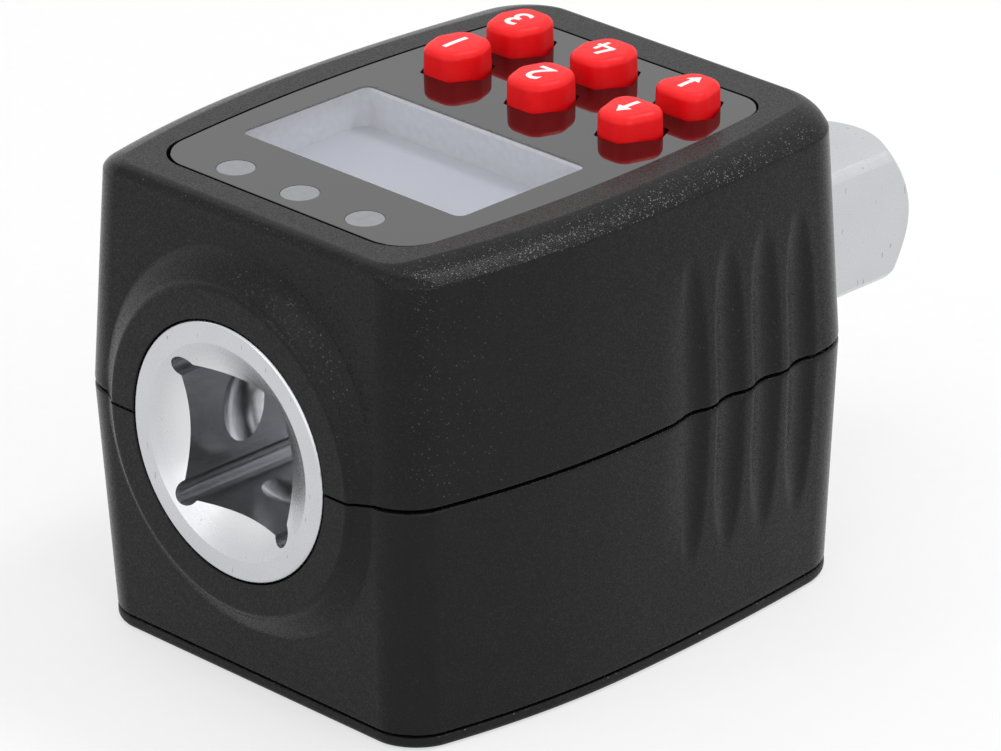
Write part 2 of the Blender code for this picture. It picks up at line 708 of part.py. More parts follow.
def make_upper_housing(way, ends):
    low = AXIS_Z + PARTING_GAP / 2
    levels = [body_ring(low), body_ring(SHOULDER_Z)]
    levels += [shoulder_ring(share) for share in (0.5, 0.75, 0.92, 1.0)]
    shell = part(loft("upper_housing", levels), "housing")
    combine(shell, "UNION", *ends["collars"])
    hollow = tool(loft("upper_hollow", [body_ring(AXIS_Z - 2.0 * MM, WALL), body_ring(DECK_BASE_Z, WALL)]))
    combine(shell, "DIFFERENCE", hollow)
    boss_base = low - 1.0 * MM
    spots = corner_spots(HOUSING_BOSS_X, HOUSING_BOSS_Y)
    root = DECK_BASE_Z + DECK / 2
    bosses = tool(rods("upper_bosses", spots, boss_base, root, HOUSING_BOSS_RADIUS))
    small = tool(rods("deck_bosses", board_screw_spots(), BOARD_TOP_Z + GAP, root, BOARD_BOSS_RADIUS, 8))
    combine(shell, "UNION", *ends["carriers"], bosses, small)
    pocket = tool(loft("panel_pocket", [plan_ring(POCKET, z) for z in (DECK_TOP_Z, RIM_Z + 2.0 * MM)]))
    margin = WINDOW_MARGIN + LCD_COLLAR + GAP
    opening = tool(loft("deck_window", [window_ring(margin, z) for z in (DECK_BASE_Z - MM, RIM_Z)]))
    lamp_spots = [(k * LAMP_PITCH, LAMP_Y) for k in (-1, 0, 1)]
    lamp_radius = LAMP_RADIUS + GAP
    lamp_holes = tool(rods("deck_lamp_holes", lamp_spots, DECK_BASE_Z - MM, RIM_Z, lamp_radius, LAMP_STEPS))
    keys = key_holes("deck_key_holes", KEY_GAP)
    pilot_top = low + HOUSING_SCREW_REACH + 1.0 * MM
    pilots = tool(rods("upper_pilots", spots, boss_base - MM, pilot_top, HOUSING_SCREW_RADIUS + GAP, 8))
    board_pilots = tool(
        rods("deck_pilots", board_screw_spots(), BOARD_TOP_Z - MM, DECK_BASE_Z + 0.4 * MM,
             BOARD_SCREW_RADIUS + GAP, 8)
    )
    flutes = flute_cutters("upper_flutes", 1)
    under = tool(boxes("under_parting", ((-0.06, -0.06, -0.01), (0.06, 0.06, low))))
    combine(shell, "DIFFERENCE", way, pocket, opening, lamp_holes, keys, pilots, board_pilots)
    combine(shell, "DIFFERENCE", flutes, under)


def bay_half_size():
    """Half the battery bay inside its walls, along X and Y."""
    x = CELL_LENGTH / 2 + BAY_END_SPACE
    y = 2 * CELL_RADIUS + CELL_SPACE / 2 + GAP
    return x, y


def make_lower_housing(way, ends):
    high = AXIS_Z - PARTING_GAP / 2
    floor_top = SHELL_BASE_Z + FLOOR
    shell = part(loft("lower_housing", [body_ring(SHELL_BASE_Z), body_ring(high)]), "housing")
    combine(shell, "UNION", *ends["collars"])
    hollow = tool(loft("lower_hollow", [body_ring(floor_top, WALL), body_ring(AXIS_Z + 2.0 * MM, WALL)]))
    combine(shell, "DIFFERENCE", hollow)
    spots = corner_spots(HOUSING_BOSS_X, HOUSING_BOSS_Y)
    overlap = FLOOR / 2
    top = high + 1.0 * MM
    bosses = tool(rods("lower_bosses", spots, SHELL_BASE_Z + overlap, top, HOUSING_BOSS_RADIUS + 0.4 * MM))
    cover_spots = corner_spots(COVER_SCREW_X, COVER_SCREW_Y)
    low_bosses = tool(
        rods("cover_bosses", cover_spots, SHELL_BASE_Z + overlap, COVER_BOSS_TOP_Z, COVER_BOSS_RADIUS, 12)
    )
    bay_x, bay_y = bay_half_size()
    roof = CELL_Z + CELL_RADIUS + GAP
    bay = tool(
        boxes(
            "bay_block",
            (
                (-bay_x - BAY_WALL, -bay_y - BAY_WALL, SHELL_BASE_Z + overlap),
                (bay_x + BAY_WALL, bay_y + BAY_WALL, roof + BAY_WALL),
            ),
        )
    )
    near = FLANGE_START_Y - GAP - CRADLE_PLATE
    far = FLANGE_START_Y + FLANGE_LENGTH + GAP
    low = SHELL_BASE_Z + overlap
    cheek = FLANGE_FLAT + GAP
    plate = FLANGE_RADIUS + CRADLE_SIDE
    cradle = tool(boxes("cradle_plate_front", ((-plate, near, low), (plate, near + CRADLE_PLATE, top))))
    cradle_back = tool(boxes("cradle_plate_rear", ((-plate, far, low), (plate, far + CRADLE_PLATE, top))))
    cheeks = tool(
        boxes(
            "cradle_cheeks",
            ((cheek, near + CRADLE_PLATE / 2, low), (cheek + CRADLE_CHEEK, far + CRADLE_PLATE / 2, top)),
            ((-cheek - CRADLE_CHEEK, near + CRADLE_PLATE / 2, low), (-cheek, far + CRADLE_PLATE / 2, top)),
        )
    )
    combine(shell, "UNION", *ends["carriers"], bosses, low_bosses, bay, cradle, cradle_back, cheeks)
    well = tool(boxes("bay_well", ((-bay_x, -bay_y, 0.0), (bay_x, bay_y, roof))))
    wire_spots = [(-bay_x + LEAD_INSET, y) for y in lead_rows()]
    wire_holes = tool(rods("lead_holes", wire_spots, roof - MM, roof + BAY_WALL + MM, LEAD_RADIUS + GAP, 8))
    shanks = tool(rods("lower_clearance", spots, 0.0, top + MM, HOUSING_SCREW_RADIUS + GAP, 8))
    sink = HOUSING_SCREW_HEAD_RADIUS + GAP
    heads = tool(rods("lower_counterbores", spots, 0.0, HOUSING_SEAT_Z, sink, 12))
    cover_pilots = tool(
        rods("cover_pilots", cover_spots, 0.0, COVER_BOSS_TOP_Z - 0.8 * MM, COVER_SCREW_RADIUS + GAP, 8)
    )
    flutes = flute_cutters("lower_flutes", -1)
    above = tool(boxes("above_parting", ((-0.06, -0.06, high), (0.06, 0.06, 0.09))))
    combine(shell, "DIFFERENCE", way, well, wire_holes, shanks, heads, cover_pilots, flutes, above)


def lead_rows():
    """The rows along Y where the two battery leads leave the bay: one beside each cell."""
    row = CELL_RADIUS + CELL_SPACE / 2
    return (-row, row)


def make_bottom_cover():
    side, front, rear = LOWER_DRAFT
    levels = []
    for z, inset in ((0.0, 0.9), (0.3, 0.35), (0.9, 0.05)):
        extra = inset * MM
        levels.append(plan_ring(BODY, z * MM, side + extra, front + extra, rear + extra))
    levels.append(plan_ring(BODY, COVER_TOP_Z, side, front, rear))
    cover = part(loft("bottom_cover", levels), "cover")
    _, bay_y = bay_half_size()
    rib_half = bay_y - RIB_WIDTH / 2
    rib_top = CELL_Z - CELL_RADIUS - GAP
    ribs = tool(
        boxes(
            "cover_ribs",
            *[
                ((x - RIB_WIDTH / 2, -rib_half, COVER_TOP_Z / 2), (x + RIB_WIDTH / 2, rib_half, rib_top))
                for x in (-CELL_LENGTH / 4, CELL_LENGTH / 4)
            ],
        )
    )
    combine(cover, "UNION", ribs)
    spots = corner_spots(COVER_SCREW_X, COVER_SCREW_Y)
    holes = bmesh.new()
    for x, y in spots:
        add_rod(holes, x, y, -MM, COVER_TOP_Z + MM, COVER_SCREW_RADIUS + GAP, 12)
    clearance = tool(object_from("cover_holes", holes))
    sinks = bmesh.new()
    slope = (COVER_SCREW_HEAD_RADIUS - COVER_SCREW_RADIUS) / COVER_SCREW_HEAD
    low = -0.5 * MM
    high = COVER_TOP_Z - 0.2 * MM
    wide = COVER_SCREW_HEAD_RADIUS + GAP + slope * (COVER_SCREW_BASE_Z - low)
    for x, y in spots:
        add_rod(sinks, x, y, low, high, wide, 16, wide - slope * (high - low))
    countersinks = tool(object_from("cover_countersinks", sinks))
    combine(cover, "DIFFERENCE", clearance, countersinks, seal_ring("seal_groove", FILM_GAP))


def seal_ring(name, clearance):
    """The seal round the battery bay, or the groove that holds it in the cover."""
    bay_x, bay_y = bay_half_size()
    inner_x = 2 * (bay_x + SEAL_MARGIN)
    inner_y = 2 * (bay_y + SEAL_MARGIN)
    corner = 2.0 * MM
    low = SHELL_BASE_Z - FILM_GAP - SEAL_HEIGHT - clearance
    high = SHELL_BASE_Z - FILM_GAP + 2 * clearance
    bm = bmesh.new()
    inner = rectangle(inner_x, inner_y, corner)
    outer_low = rounded_ring(inner, corner + SEAL_WIDTH + clearance, low)
    outer_high = rounded_ring(inner, corner + SEAL_WIDTH + clearance, high)
    inner_low = rounded_ring(inner, corner - clearance, low)
    inner_high = rounded_ring(inner, corner - clearance, high)
    rings = (outer_low, outer_high, inner_high, inner_low)
    loops = [[bm.verts.new(point) for point in ring] for ring in rings]
    count = len(loops[0])
    for k in range(4):
        first = loops[k]
        second = loops[(k + 1) % 4]
        for i in range(count):
            j = (i + 1) % count
            bm.faces.new((first[i], first[j], second[j], second[i]))
    obj = object_from(name, bm)
    return tool(obj) if clearance else obj


def make_panel():
    rings = [plan_ring(POCKET, z, GAP, GAP, GAP) for z in (PANEL_BASE_Z, PANEL_TOP_Z)]
    panel = part(loft("display_panel", rings), "panel")
    combine(panel, "DIFFERENCE", key_holes("panel_key_holes", KEY_GAP))
    rings = [plan_ring(POCKET, z, GAP, GAP, GAP) for z in (MASK_BASE_Z, MASK_TOP_Z)]
    mask = part(loft("panel_mask", rings), "mask")
    window = tool(loft("mask_window", [window_ring(0.0, z) for z in (DECK_TOP_Z, RIM_Z)]))
    lamp_spots = [(k * LAMP_PITCH, LAMP_Y) for k in (-1, 0, 1)]
    lamps = tool(rods("mask_lamp_windows", lamp_spots, DECK_TOP_Z, RIM_Z, LAMP_RADIUS, LAMP_STEPS))
    combine(mask, "DIFFERENCE", key_holes("mask_key_holes", KEY_GAP), window, lamps)


def make_display():
    """The display glass in its frame, whose lip forms the walls of the well under the window."""
    base = BOARD_TOP_Z + GAP
    glass_width = WINDOW_WIDTH + 2 * LCD_MARGIN
    glass_length = WINDOW_LENGTH + 2 * LCD_MARGIN
    corner = LCD_CORNER
    core = rectangle(glass_width, glass_length, corner, (0.0, WINDOW_Y))
    part(loft("lcd_module", [rounded_ring(core, corner, z) for z in (base, LCD_TOP_Z)]), "display")
    rim = GAP + LCD_FRAME_WALL
    body_rings = [rounded_ring(core, corner + rim, z) for z in (base, DECK_BASE_Z - GAP)]
    frame = part(loft("lcd_frame", body_rings), "frame")
    collar_rings = [window_ring(WINDOW_MARGIN + LCD_COLLAR, z) for z in (LCD_TOP_Z, MASK_BASE_Z - GAP)]
    combine(frame, "UNION", tool(loft("lcd_collar", collar_rings)))
    seat_rings = [rounded_ring(core, corner + GAP, z) for z in (base - MM, LCD_TOP_Z + FILM_GAP)]
    view_rings = [window_ring(WINDOW_MARGIN, z) for z in (base, RIM_Z)]
    combine(frame, "DIFFERENCE", tool(loft("lcd_seat", seat_rings)), tool(loft("lcd_view", view_rings)))


def make_lamps():
    base = BOARD_TOP_Z + GAP
    top = MASK_BASE_Z - GAP
    dome = LAMP_DOME
    for name, k in (("lamp_left", -1), ("lamp_middle", 0), ("lamp_right", 1)):
        profile = [(LAMP_RADIUS + LAMP_FLANGE, base), (LAMP_RADIUS + LAMP_FLANGE, base + LAMP_FOOT)]
        profile += [(LAMP_RADIUS, base + LAMP_FOOT), (LAMP_RADIUS, top - dome)]
        for turn in (35, 65):
            angle = math.radians(turn)
            profile.append((LAMP_RADIUS * math.cos(angle), top - dome + dome * math.sin(angle)))
        profile.append((LAMP_RADIUS * 0.1, top))
        part(turned(name, profile, "Z", (k * LAMP_PITCH, LAMP_Y, 0.0), LAMP_STEPS), "lamp")


def make_key_mat():
    """The rubber sheet round the keys, with a skirt that stands on the board."""
    front = KEY_FRONT_ROW_Y - KEY_HALF_LENGTH - KEY_FLANGE - MAT_MARGIN
    rear = KEY_BACK_ROW_Y + KEY_HALF_LENGTH + KEY_FLANGE + MAT_MARGIN
    middle = (front + rear) / 2
    corner = MAT_CORNER
    core = rectangle(2 * MAT_HALF_WIDTH, rear - front, corner, (0.0, middle))
    low = BOARD_TOP_Z + GAP
    mat = part(loft("key_mat", [rounded_ring(core, corner, z) for z in (low, FLANGE_TOP_Z)]), "mat")
    under = tool(
        loft("mat_hollow", [rounded_ring(core, corner - MAT_SKIRT, z) for z in (low - MM, FLANGE_BASE_Z)])
    )
    combine(mat, "DIFFERENCE", under, key_holes("mat_key_holes", KEY_FLANGE + GAP))


def make_board():
    low = BOARD_TOP_Z - BOARD_THICKNESS
    half_x = BOARD_HALF_WIDTH
    half_y = BOARD_HALF_LENGTH
    tongue = TONGUE_HALF_WIDTH
    outline = [(-tongue, FRONT_TONGUE_Y), (tongue, FRONT_TONGUE_Y), (tongue, -half_y), (half_x, -half_y)]
    outline += [(half_x, half_y), (tongue, half_y), (tongue, REAR_TONGUE_Y), (-tongue, REAR_TONGUE_Y)]
    outline += [(-tongue, half_y), (-half_x, half_y), (-half_x, -half_y), (-tongue, -half_y)]
    rings = [[(x, y, z) for x, y in outline] for z in (low, BOARD_TOP_Z)]
    board = part(loft("circuit_board", rings), "board")
    holes = tool(
        rods("board_holes", board_screw_spots(), low - MM, BOARD_TOP_Z + MM, BOARD_SCREW_RADIUS + GAP, 12)
    )
    combine(board, "DIFFERENCE", holes)
    film_low = BOARD_TOP_Z + FILM_GAP
    film_top = film_low + SWITCH_FILM
    border = SWITCH_DOME_RADIUS + SWITCH_MARGIN
    film_half = KEY_COLUMN + border
    low_corner = (-film_half, KEY_FRONT_ROW_Y - border, film_low)
    film = part(boxes("switch_film", (low_corner, (film_half, KEY_BACK_ROW_Y + border, film_top))), "zinc")
    bm = bmesh.new()
    root = film_low + SWITCH_FILM / 3
    crown = 0.6 * SWITCH_DOME_RADIUS
    for x, y, _ in KEYS.values():
        add_rod(bm, x, y, root, SWITCH_TOP_Z, SWITCH_DOME_RADIUS, 12, crown)
    combine(film, "UNION", tool(object_from("switch_domes", bm)))
    sounder_top = low - GAP
    sounder_low = sounder_top - SOUNDER_HEIGHT
    profile = [(SOUNDER_RADIUS, sounder_top), (SOUNDER_RADIUS, sounder_low + 0.4 * MM)]
    profile += [(SOUNDER_RADIUS - 0.4 * MM, sounder_low), (1.2 * MM, sounder_low)]
    profile += [(1.2 * MM, sounder_low + 1.0 * MM)]
    part(turned("sounder", profile, "Z", (SOUNDER_X, SOUNDER_Y, 0.0), CELL_STEPS), "bush")


def screw(name, spot, low, head, head_radius, radius, length, sunk=False):
    """A screw that points up: its head, pan or sunk, then its shank, with a recess for the driver."""
    rim = head_radius if sunk else head_radius - 0.25 * MM
    profile = [(radius * 0.5, low + length), (radius, low + length - radius * 0.6), (radius, low + head)]
    if not sunk:
        profile += [(head_radius, low + head), (head_radius, low + head * 0.4)]
    profile += [(rim, low), (head_radius * 0.42, low), (head_radius * 0.3, low + head * 0.55)]
    return part(turned(name, profile, "Z", (*spot, 0.0), SCREW_STEPS), "zinc")


def make_screws():
    low = HOUSING_SEAT_Z - GAP - HOUSING_SCREW_HEAD
    reach = AXIS_Z + PARTING_GAP / 2 + HOUSING_SCREW_REACH - low
    for i, spot in enumerate(corner_spots(HOUSING_BOSS_X, HOUSING_BOSS_Y)):
        screw(f"housing_screw_{i + 1}", spot, low, HOUSING_SCREW_HEAD, HOUSING_SCREW_HEAD_RADIUS,
              HOUSING_SCREW_RADIUS, reach)
    for i, spot in enumerate(corner_spots(COVER_SCREW_X, COVER_SCREW_Y)):
        screw(f"cover_screw_{i + 1}", spot, COVER_SCREW_BASE_Z, COVER_SCREW_HEAD, COVER_SCREW_HEAD_RADIUS,
              COVER_SCREW_RADIUS, COVER_SCREW_LENGTH, sunk=True)
    low = BOARD_TOP_Z - BOARD_THICKNESS - GAP - BOARD_SCREW_HEAD
    length = BOARD_TOP_Z + BOARD_SCREW_REACH - low
    for i, spot in enumerate(board_screw_spots()):
        screw(f"board_screw_{i + 1}", spot, low, BOARD_SCREW_HEAD, BOARD_SCREW_HEAD_RADIUS,
              BOARD_SCREW_RADIUS, length)


def socket_outline():
    """The female square with a round relief in each corner, across X and along the axis object's Y."""
    half = SOCKET_SQUARE / 2
    centre = (RELIEF_REACH - RELIEF_RADIUS) / math.sqrt(2)
    start = -math.acos((half - centre) / RELIEF_RADIUS)
    sweep = math.pi / 2 - 2 * start
    steps = 6
    points = []
    for quarter in range(4):
        cosine = math.cos(quarter * math.pi / 2)
        sine = math.sin(quarter * math.pi / 2)
        for k in range(steps + 1):
            angle = start + sweep * k / steps
            x = centre + RELIEF_RADIUS * math.cos(angle)
            z = centre + RELIEF_RADIUS * math.sin(angle)
            points.append((x * cosine - z * sine, x * sine + z * cosine))
    return points


def along_axis(points, y):
    return [(x, y, AXIS_Z + z) for x, z in points]


def make_shaft():
    head_end = SHAFT_FRONT_Y + HEAD_LENGTH
    shoulder_end = DRIVE_END_Y - DRIVE_LENGTH
    blend = 1.5 * MM
    profile = [
        (HEAD_RADIUS - HEAD_EDGE, SHAFT_FRONT_Y),
        (HEAD_RADIUS, SHAFT_FRONT_Y + HEAD_EDGE),
        (HEAD_RADIUS, head_end),
        (WAIST_RADIUS + blend, head_end),
        (WAIST_RADIUS, head_end + blend),
        (WAIST_RADIUS, WAIST_END_Y - blend),
        (WAIST_RADIUS + blend, WAIST_END_Y),
        (JOURNAL_RADIUS, WAIST_END_Y),
        (JOURNAL_RADIUS, shoulder_end - 1.0 * MM),
        (JOURNAL_RADIUS - 1.0 * MM, shoulder_end),
    ]
    shaft = part(turned("torque_shaft", profile), "steel")
    flange_profile = [(FLANGE_RADIUS, FLANGE_START_Y), (FLANGE_RADIUS, FLANGE_START_Y + FLANGE_LENGTH)]
    flange = tool(turned("flange_disc", flange_profile))
    flat = FLANGE_FLAT
    flange_end = FLANGE_START_Y + 2 * FLANGE_LENGTH
    block = tool(
        boxes("flange_square", ((-flat, 0.0, AXIS_Z - flat), (flat, flange_end, AXIS_Z + flat)))
    )
    combine(flange, "INTERSECT", block)
    cone = DRIVE_TURNED_RADIUS - DRIVE_END_RADIUS
    tip_profile = [
        (DRIVE_TURNED_RADIUS, shoulder_end - 2.0 * MM),
        (DRIVE_TURNED_RADIUS, DRIVE_END_Y - cone),
        (DRIVE_END_RADIUS, DRIVE_END_Y),
    ]
    tip = tool(turned("drive_bar", tip_profile))
    half = DRIVE_SQUARE / 2
    bar_start = shoulder_end - half / 2
    bar_end = DRIVE_END_Y + half / 2
    square_corners = ((-half, bar_start, AXIS_Z - half), (half, bar_end, AXIS_Z + half))
    square = tool(boxes("drive_square", square_corners))
    combine(tip, "INTERSECT", square)
    combine(shaft, "UNION", flange, tip)
    outline = socket_outline()
    ends = (SHAFT_FRONT_Y - 2.0 * MM, SHAFT_FRONT_Y + SOCKET_DEPTH)
    socket = tool(loft("socket_square", [along_axis(outline, y) for y in ends]))
    slope = (SOCKET_MOUTH_RADIUS - SOCKET_SQUARE / 2) / SOCKET_CHAMFER_DEPTH
    deep = SOCKET_CHAMFER_DEPTH + 0.6 * MM
    mouth_profile = [
        (SOCKET_MOUTH_RADIUS + slope * MM, SHAFT_FRONT_Y - MM),
        (SOCKET_MOUTH_RADIUS - slope * deep, SHAFT_FRONT_Y + deep),
    ]
    mouth = tool(turned("socket_mouth", mouth_profile))
    groove_profile = []
    groove_centre = GROOVE_RADIUS - GROOVE_SECTION
    for k in range(-3, 4):
        along = GROOVE_HALF_WIDTH * k / 3
        radius = groove_centre + math.sqrt(GROOVE_SECTION**2 - along**2)
        groove_profile.append((radius, SHAFT_FRONT_Y + GROOVE_Y + along))
    groove = tool(turned("socket_groove", groove_profile))
    pad_start = GAUGE_Y - GAUGE_FLAT_LENGTH / 2
    pad_end = GAUGE_Y + GAUGE_FLAT_LENGTH / 2
    pad_reach = 2 * WAIST_RADIUS
    levels = ((AXIS_Z - pad_reach, AXIS_Z - GAUGE_FLAT), (AXIS_Z + GAUGE_FLAT, AXIS_Z + pad_reach))
    pads = tool(
        boxes(
            "gauge_flats",
            *[((-WAIST_RADIUS, pad_start, low), (WAIST_RADIUS, pad_end, high)) for low, high in levels],
        )
    )
    bore_radius = BALL_RADIUS + BALL_CLEARANCE
    bore_profile = [(bore_radius, DETENT_FLOOR_X), (bore_radius, -half - 2.0 * MM)]
    bore = tool(turned("detent_bore", bore_profile, "X", (0.0, DETENT_Y, AXIS_Z), CELL_STEPS))
    combine(shaft, "DIFFERENCE", socket, mouth, groove, pads, bore)


def make_detent():
    """The ball on the square's left flat, and the spring behind it. Both lie along X."""
    half = DRIVE_SQUARE / 2
    ball_x = -(half + BALL_PROUD - BALL_RADIUS)
    bm = bmesh.new()
    bmesh.ops.create_uvsphere(bm, u_segments=14, v_segments=8, radius=BALL_RADIUS)
    ball = part(object_from("detent_ball", bm), "ball")
    ball.location = (ball_x, DETENT_Y, AXIS_Z)
    start = ball_x + BALL_RADIUS + GAP + SPRING_WIRE
    end = DETENT_FLOOR_X - GAP - SPRING_WIRE
    part(coil("detent_spring", start, end, SPRING_RADIUS - SPRING_WIRE, SPRING_WIRE, SPRING_TURNS,
              (0.0, DETENT_Y, AXIS_Z)), "zinc")


def coil(name, start, end, radius, wire, turns, place):
    """A coil spring along X as a poly curve, closed at both ends by a flat turn."""
    per_turn = 8
    count = turns * per_turn
    points = []
    for k in range(count + 1):
        share = k / count
        flat = min(1.0, max(0.0, (share * turns - 0.75) / (turns - 1.5)))
        angle = math.tau * share * turns
        points.append((start + (end - start) * flat, radius * math.cos(angle), radius * math.sin(angle)))
    return tube(name, points, wire, place)


def tube(name, points, radius, place=(0.0, 0.0, 0.0)):
    curve = bpy.data.curves.new(name, "CURVE")
    curve.dimensions = "3D"
    curve.bevel_depth = radius
    curve.bevel_resolution = 1
    curve.use_fill_caps = True
    spline = curve.splines.new("POLY")
    spline.points.add(len(points) - 1)
    for slot, point in zip(spline.points, points):
        slot.co = (*point, 1.0)
    obj = bpy.data.objects.new(name, curve)
    obj.location = place
    return obj


def smooth_path(stations, count):
    """Points along a smooth curve through the stations."""
    spots = [Vector(station) for station in stations]
    points = []
    for k in range(count + 1):
        at = k / count * (len(spots) - 1)
        i = min(int(at), len(spots) - 2)
        t = at - i
        p0 = spots[max(i - 1, 0)]
        p1 = spots[i]
        p2 = spots[i + 1]
        p3 = spots[min(i + 2, len(spots) - 1)]
        linear = p2 - p0
        square = 2 * p0 - 5 * p1 + 4 * p2 - p3
        cube = 3 * p1 - p0 - 3 * p2 + p3
        points.append(0.5 * (2 * p1 + linear * t + square * t**2 + cube * t**3))
    return points


def make_bushes():
    for name, centre, inner in (
        ("front_bush", FRONT_BUSH_Y, HEAD_RADIUS + GAP),
        ("rear_bush", REAR_BUSH_Y, JOURNAL_RADIUS + GAP),
    ):
        bm = bmesh.new()
        low = centre - BUSH_LENGTH / 2
        high = centre + BUSH_LENGTH / 2
        outer = inner + BUSH_WALL
        loops = []
        for radius, y in ((outer, low), (outer, high), (inner, high), (inner, low)):
            loop = []
            for k in range(HIDDEN_STEPS):
                angle = math.tau * k / HIDDEN_STEPS
                loop.append(bm.verts.new((radius * math.cos(angle), y, AXIS_Z + radius * math.sin(angle))))
            loops.append(loop)
        for k in range(4):
            first = loops[k]
            second = loops[(k + 1) % 4]
            for i in range(HIDDEN_STEPS):
                j = (i + 1) % HIDDEN_STEPS
                bm.faces.new((first[i], first[j], second[j], second[i]))
        part(object_from(name, bm), "bush")


def make_gauges():
    for name, side in (("strain_gauge_top", 1), ("strain_gauge_bottom", -1)):
        near = AXIS_Z + side * (GAUGE_FLAT + FILM_GAP)
        far = near + side * GAUGE_THICKNESS
        half_x = GAUGE_WIDTH / 2
        half_y = GAUGE_LENGTH / 2
        low = (-half_x, GAUGE_Y - half_y, min(near, far))
        high = (half_x, GAUGE_Y + half_y, max(near, far))
        part(boxes(name, (low, high)), "foil")
    start = AXIS_Z + GAUGE_FLAT + FILM_GAP + GAUGE_THICKNESS + GAP + LEAD_RADIUS
    rise = BOARD_TOP_Z - BOARD_THICKNESS - GAP - start
    route = ((0.0, 0.0), (0.4, 0.0), (0.87, 0.19), (1.0, 0.56), (1.0, 0.9), (1.0, 1.0))
    stations = [(0.0, GAUGE_Y + along * GAUGE_LEAD_REACH, start + up * rise) for along, up in route]
    part(tube("gauge_leads", smooth_path(stations, 14), LEAD_RADIUS), "red_wire")


def make_batteries():
    front_row, rear_row = lead_rows()
    half = CELL_LENGTH / 2
    for name, row, side in (("battery_front", front_row, -1), ("battery_rear", rear_row, 1)):
        outline = [
            (CELL_NUB_RADIUS, half),
            (CELL_NUB_RADIUS, half - CELL_NUB),
            (CELL_RADIUS - 0.5 * MM, half - CELL_NUB),
            (CELL_RADIUS, half - CELL_NUB - 0.5 * MM),
            (CELL_RADIUS, -half + 0.5 * MM),
            (CELL_RADIUS - 0.5 * MM, -half),
        ]
        profile = [(radius, side * along) for radius, along in outline]
        part(turned(name, profile, "X", (0.0, row, CELL_Z), CELL_STEPS), "cell")
    make_contacts()


def contact_plate(name, side, rows):
    """A sheet contact that stands against the bay's end wall and spans the given rows."""
    bay_x, _ = bay_half_size()
    outer = side * (bay_x - FILM_GAP)
    inner = outer - side * CONTACT_THICKNESS
    reach = CELL_RADIUS * 0.72
    low = (min(outer, inner), min(rows) - reach, CELL_Z - reach)
    high = (max(outer, inner), max(rows) + reach, CELL_Z + CELL_RADIUS - 0.6 * MM)
    return part(boxes(name, (low, high)), "zinc"), inner


def joined_mesh(source):
    """A mesh object made from a curve, with its loose caps welded, so that a Boolean can use it."""
    bpy.context.scene.collection.objects.link(source)
    bpy.context.view_layer.update()
    graph = bpy.context.evaluated_depsgraph_get()
    mesh = bpy.data.meshes.new_from_object(source.evaluated_get(graph))
    bm = bmesh.new()
    bm.from_mesh(mesh)
    bmesh.ops.remove_doubles(bm, verts=bm.verts, dist=0.00001)
    bmesh.ops.recalc_face_normals(bm, faces=bm.faces)
    bm.to_mesh(mesh)
    bm.free()
    obj = bpy.data.objects.new(source.name + "_mesh", mesh)
    obj.matrix_world = source.matrix_world
    bpy.data.objects.remove(source, do_unlink=True)
    return obj


def make_contacts():
    """A spring meets each cell's flat end, a dimple meets its nub, and the link joins both cells."""
    front_row, rear_row = lead_rows()
    half = CELL_LENGTH / 2
    plus, plus_face = contact_plate("contact_plus", -1, (front_row,))
    minus, minus_face = contact_plate("contact_minus", -1, (rear_row,))
    link, link_face = contact_plate("contact_link", 1, (front_row, rear_row))
    for plate, face, row, side, kind in (
        (plus, plus_face, front_row, -1, "dimple"),
        (minus, minus_face, rear_row, -1, "spring"),
        (link, link_face, front_row, 1, "spring"),
        (link, link_face, rear_row, 1, "dimple"),
    ):
        label = f"{plate.name}_{kind}"
        if kind == "dimple":
            root = face + side * CONTACT_THICKNESS / 2
            profile = [(CELL_NUB_RADIUS, side * (half + GAP)), (1.4 * CELL_NUB_RADIUS, root)]
            shape = turned(label, profile, "X", (0.0, row, CELL_Z), 16)
        else:
            start = face + side * CONTACT_SPRING_WIRE / 4
            end = side * (half + GAP + CONTACT_SPRING_WIRE)
            place = (0.0, row, CELL_Z)
            spring = coil(label, start, end, CONTACT_SPRING_RADIUS, CONTACT_SPRING_WIRE, 2, place)
            shape = joined_mesh(spring)
        combine(plate, "UNION", tool(shape))


def make_battery_leads():
    bay_x, _ = bay_half_size()
    roof = CELL_Z + CELL_RADIUS + GAP
    rise = BOARD_TOP_Z - BOARD_THICKNESS - GAP - roof
    x = -bay_x + LEAD_INSET
    route = ((-0.3, 1.0, 0.285), (0.43, 0.8, 0.715), (1.0, 0.6, 0.95), (1.0, 0.6, 1.0))
    for name, row, colour in zip(("lead_red", "lead_black"), lead_rows(), ("red_wire", "black_wire")):
        stations = [(x, row, roof - LEAD_TUCK), (x, row, roof + BAY_WALL)]
        stations += [(x + sway * LEAD_SWAY, row * spread, roof + up * rise) for sway, spread, up in route]
        part(tube(name, smooth_path(stations, 16), LEAD_RADIUS), colour)


def build():
    way = shaft_way("shaft_way")
    ends = {"collars": collars("collar"), "carriers": carriers("carrier")}
    make_upper_housing(way, ends)
    make_lower_housing(way, ends)
    make_bottom_cover()
    part(seal_ring("cover_seal", 0.0), "bush")
    make_panel()
    make_display()
    make_lamps()
    make_keys()
    make_key_mat()
    make_board()
    make_screws()
    make_shaft()
    make_detent()
    make_bushes()
    make_gauges()
    make_batteries()
    make_battery_leads()


clear_scene()
parts = new_collection("digital_torque_adapter")
cutters = new_collection("cutters")
build()
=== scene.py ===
"""The digital torque adapter's looks: smooth pieces, procedural materials, camera, lights and floor."""

import math
from collections import namedtuple

import bmesh
import bpy
from mathutils import Matrix, Vector


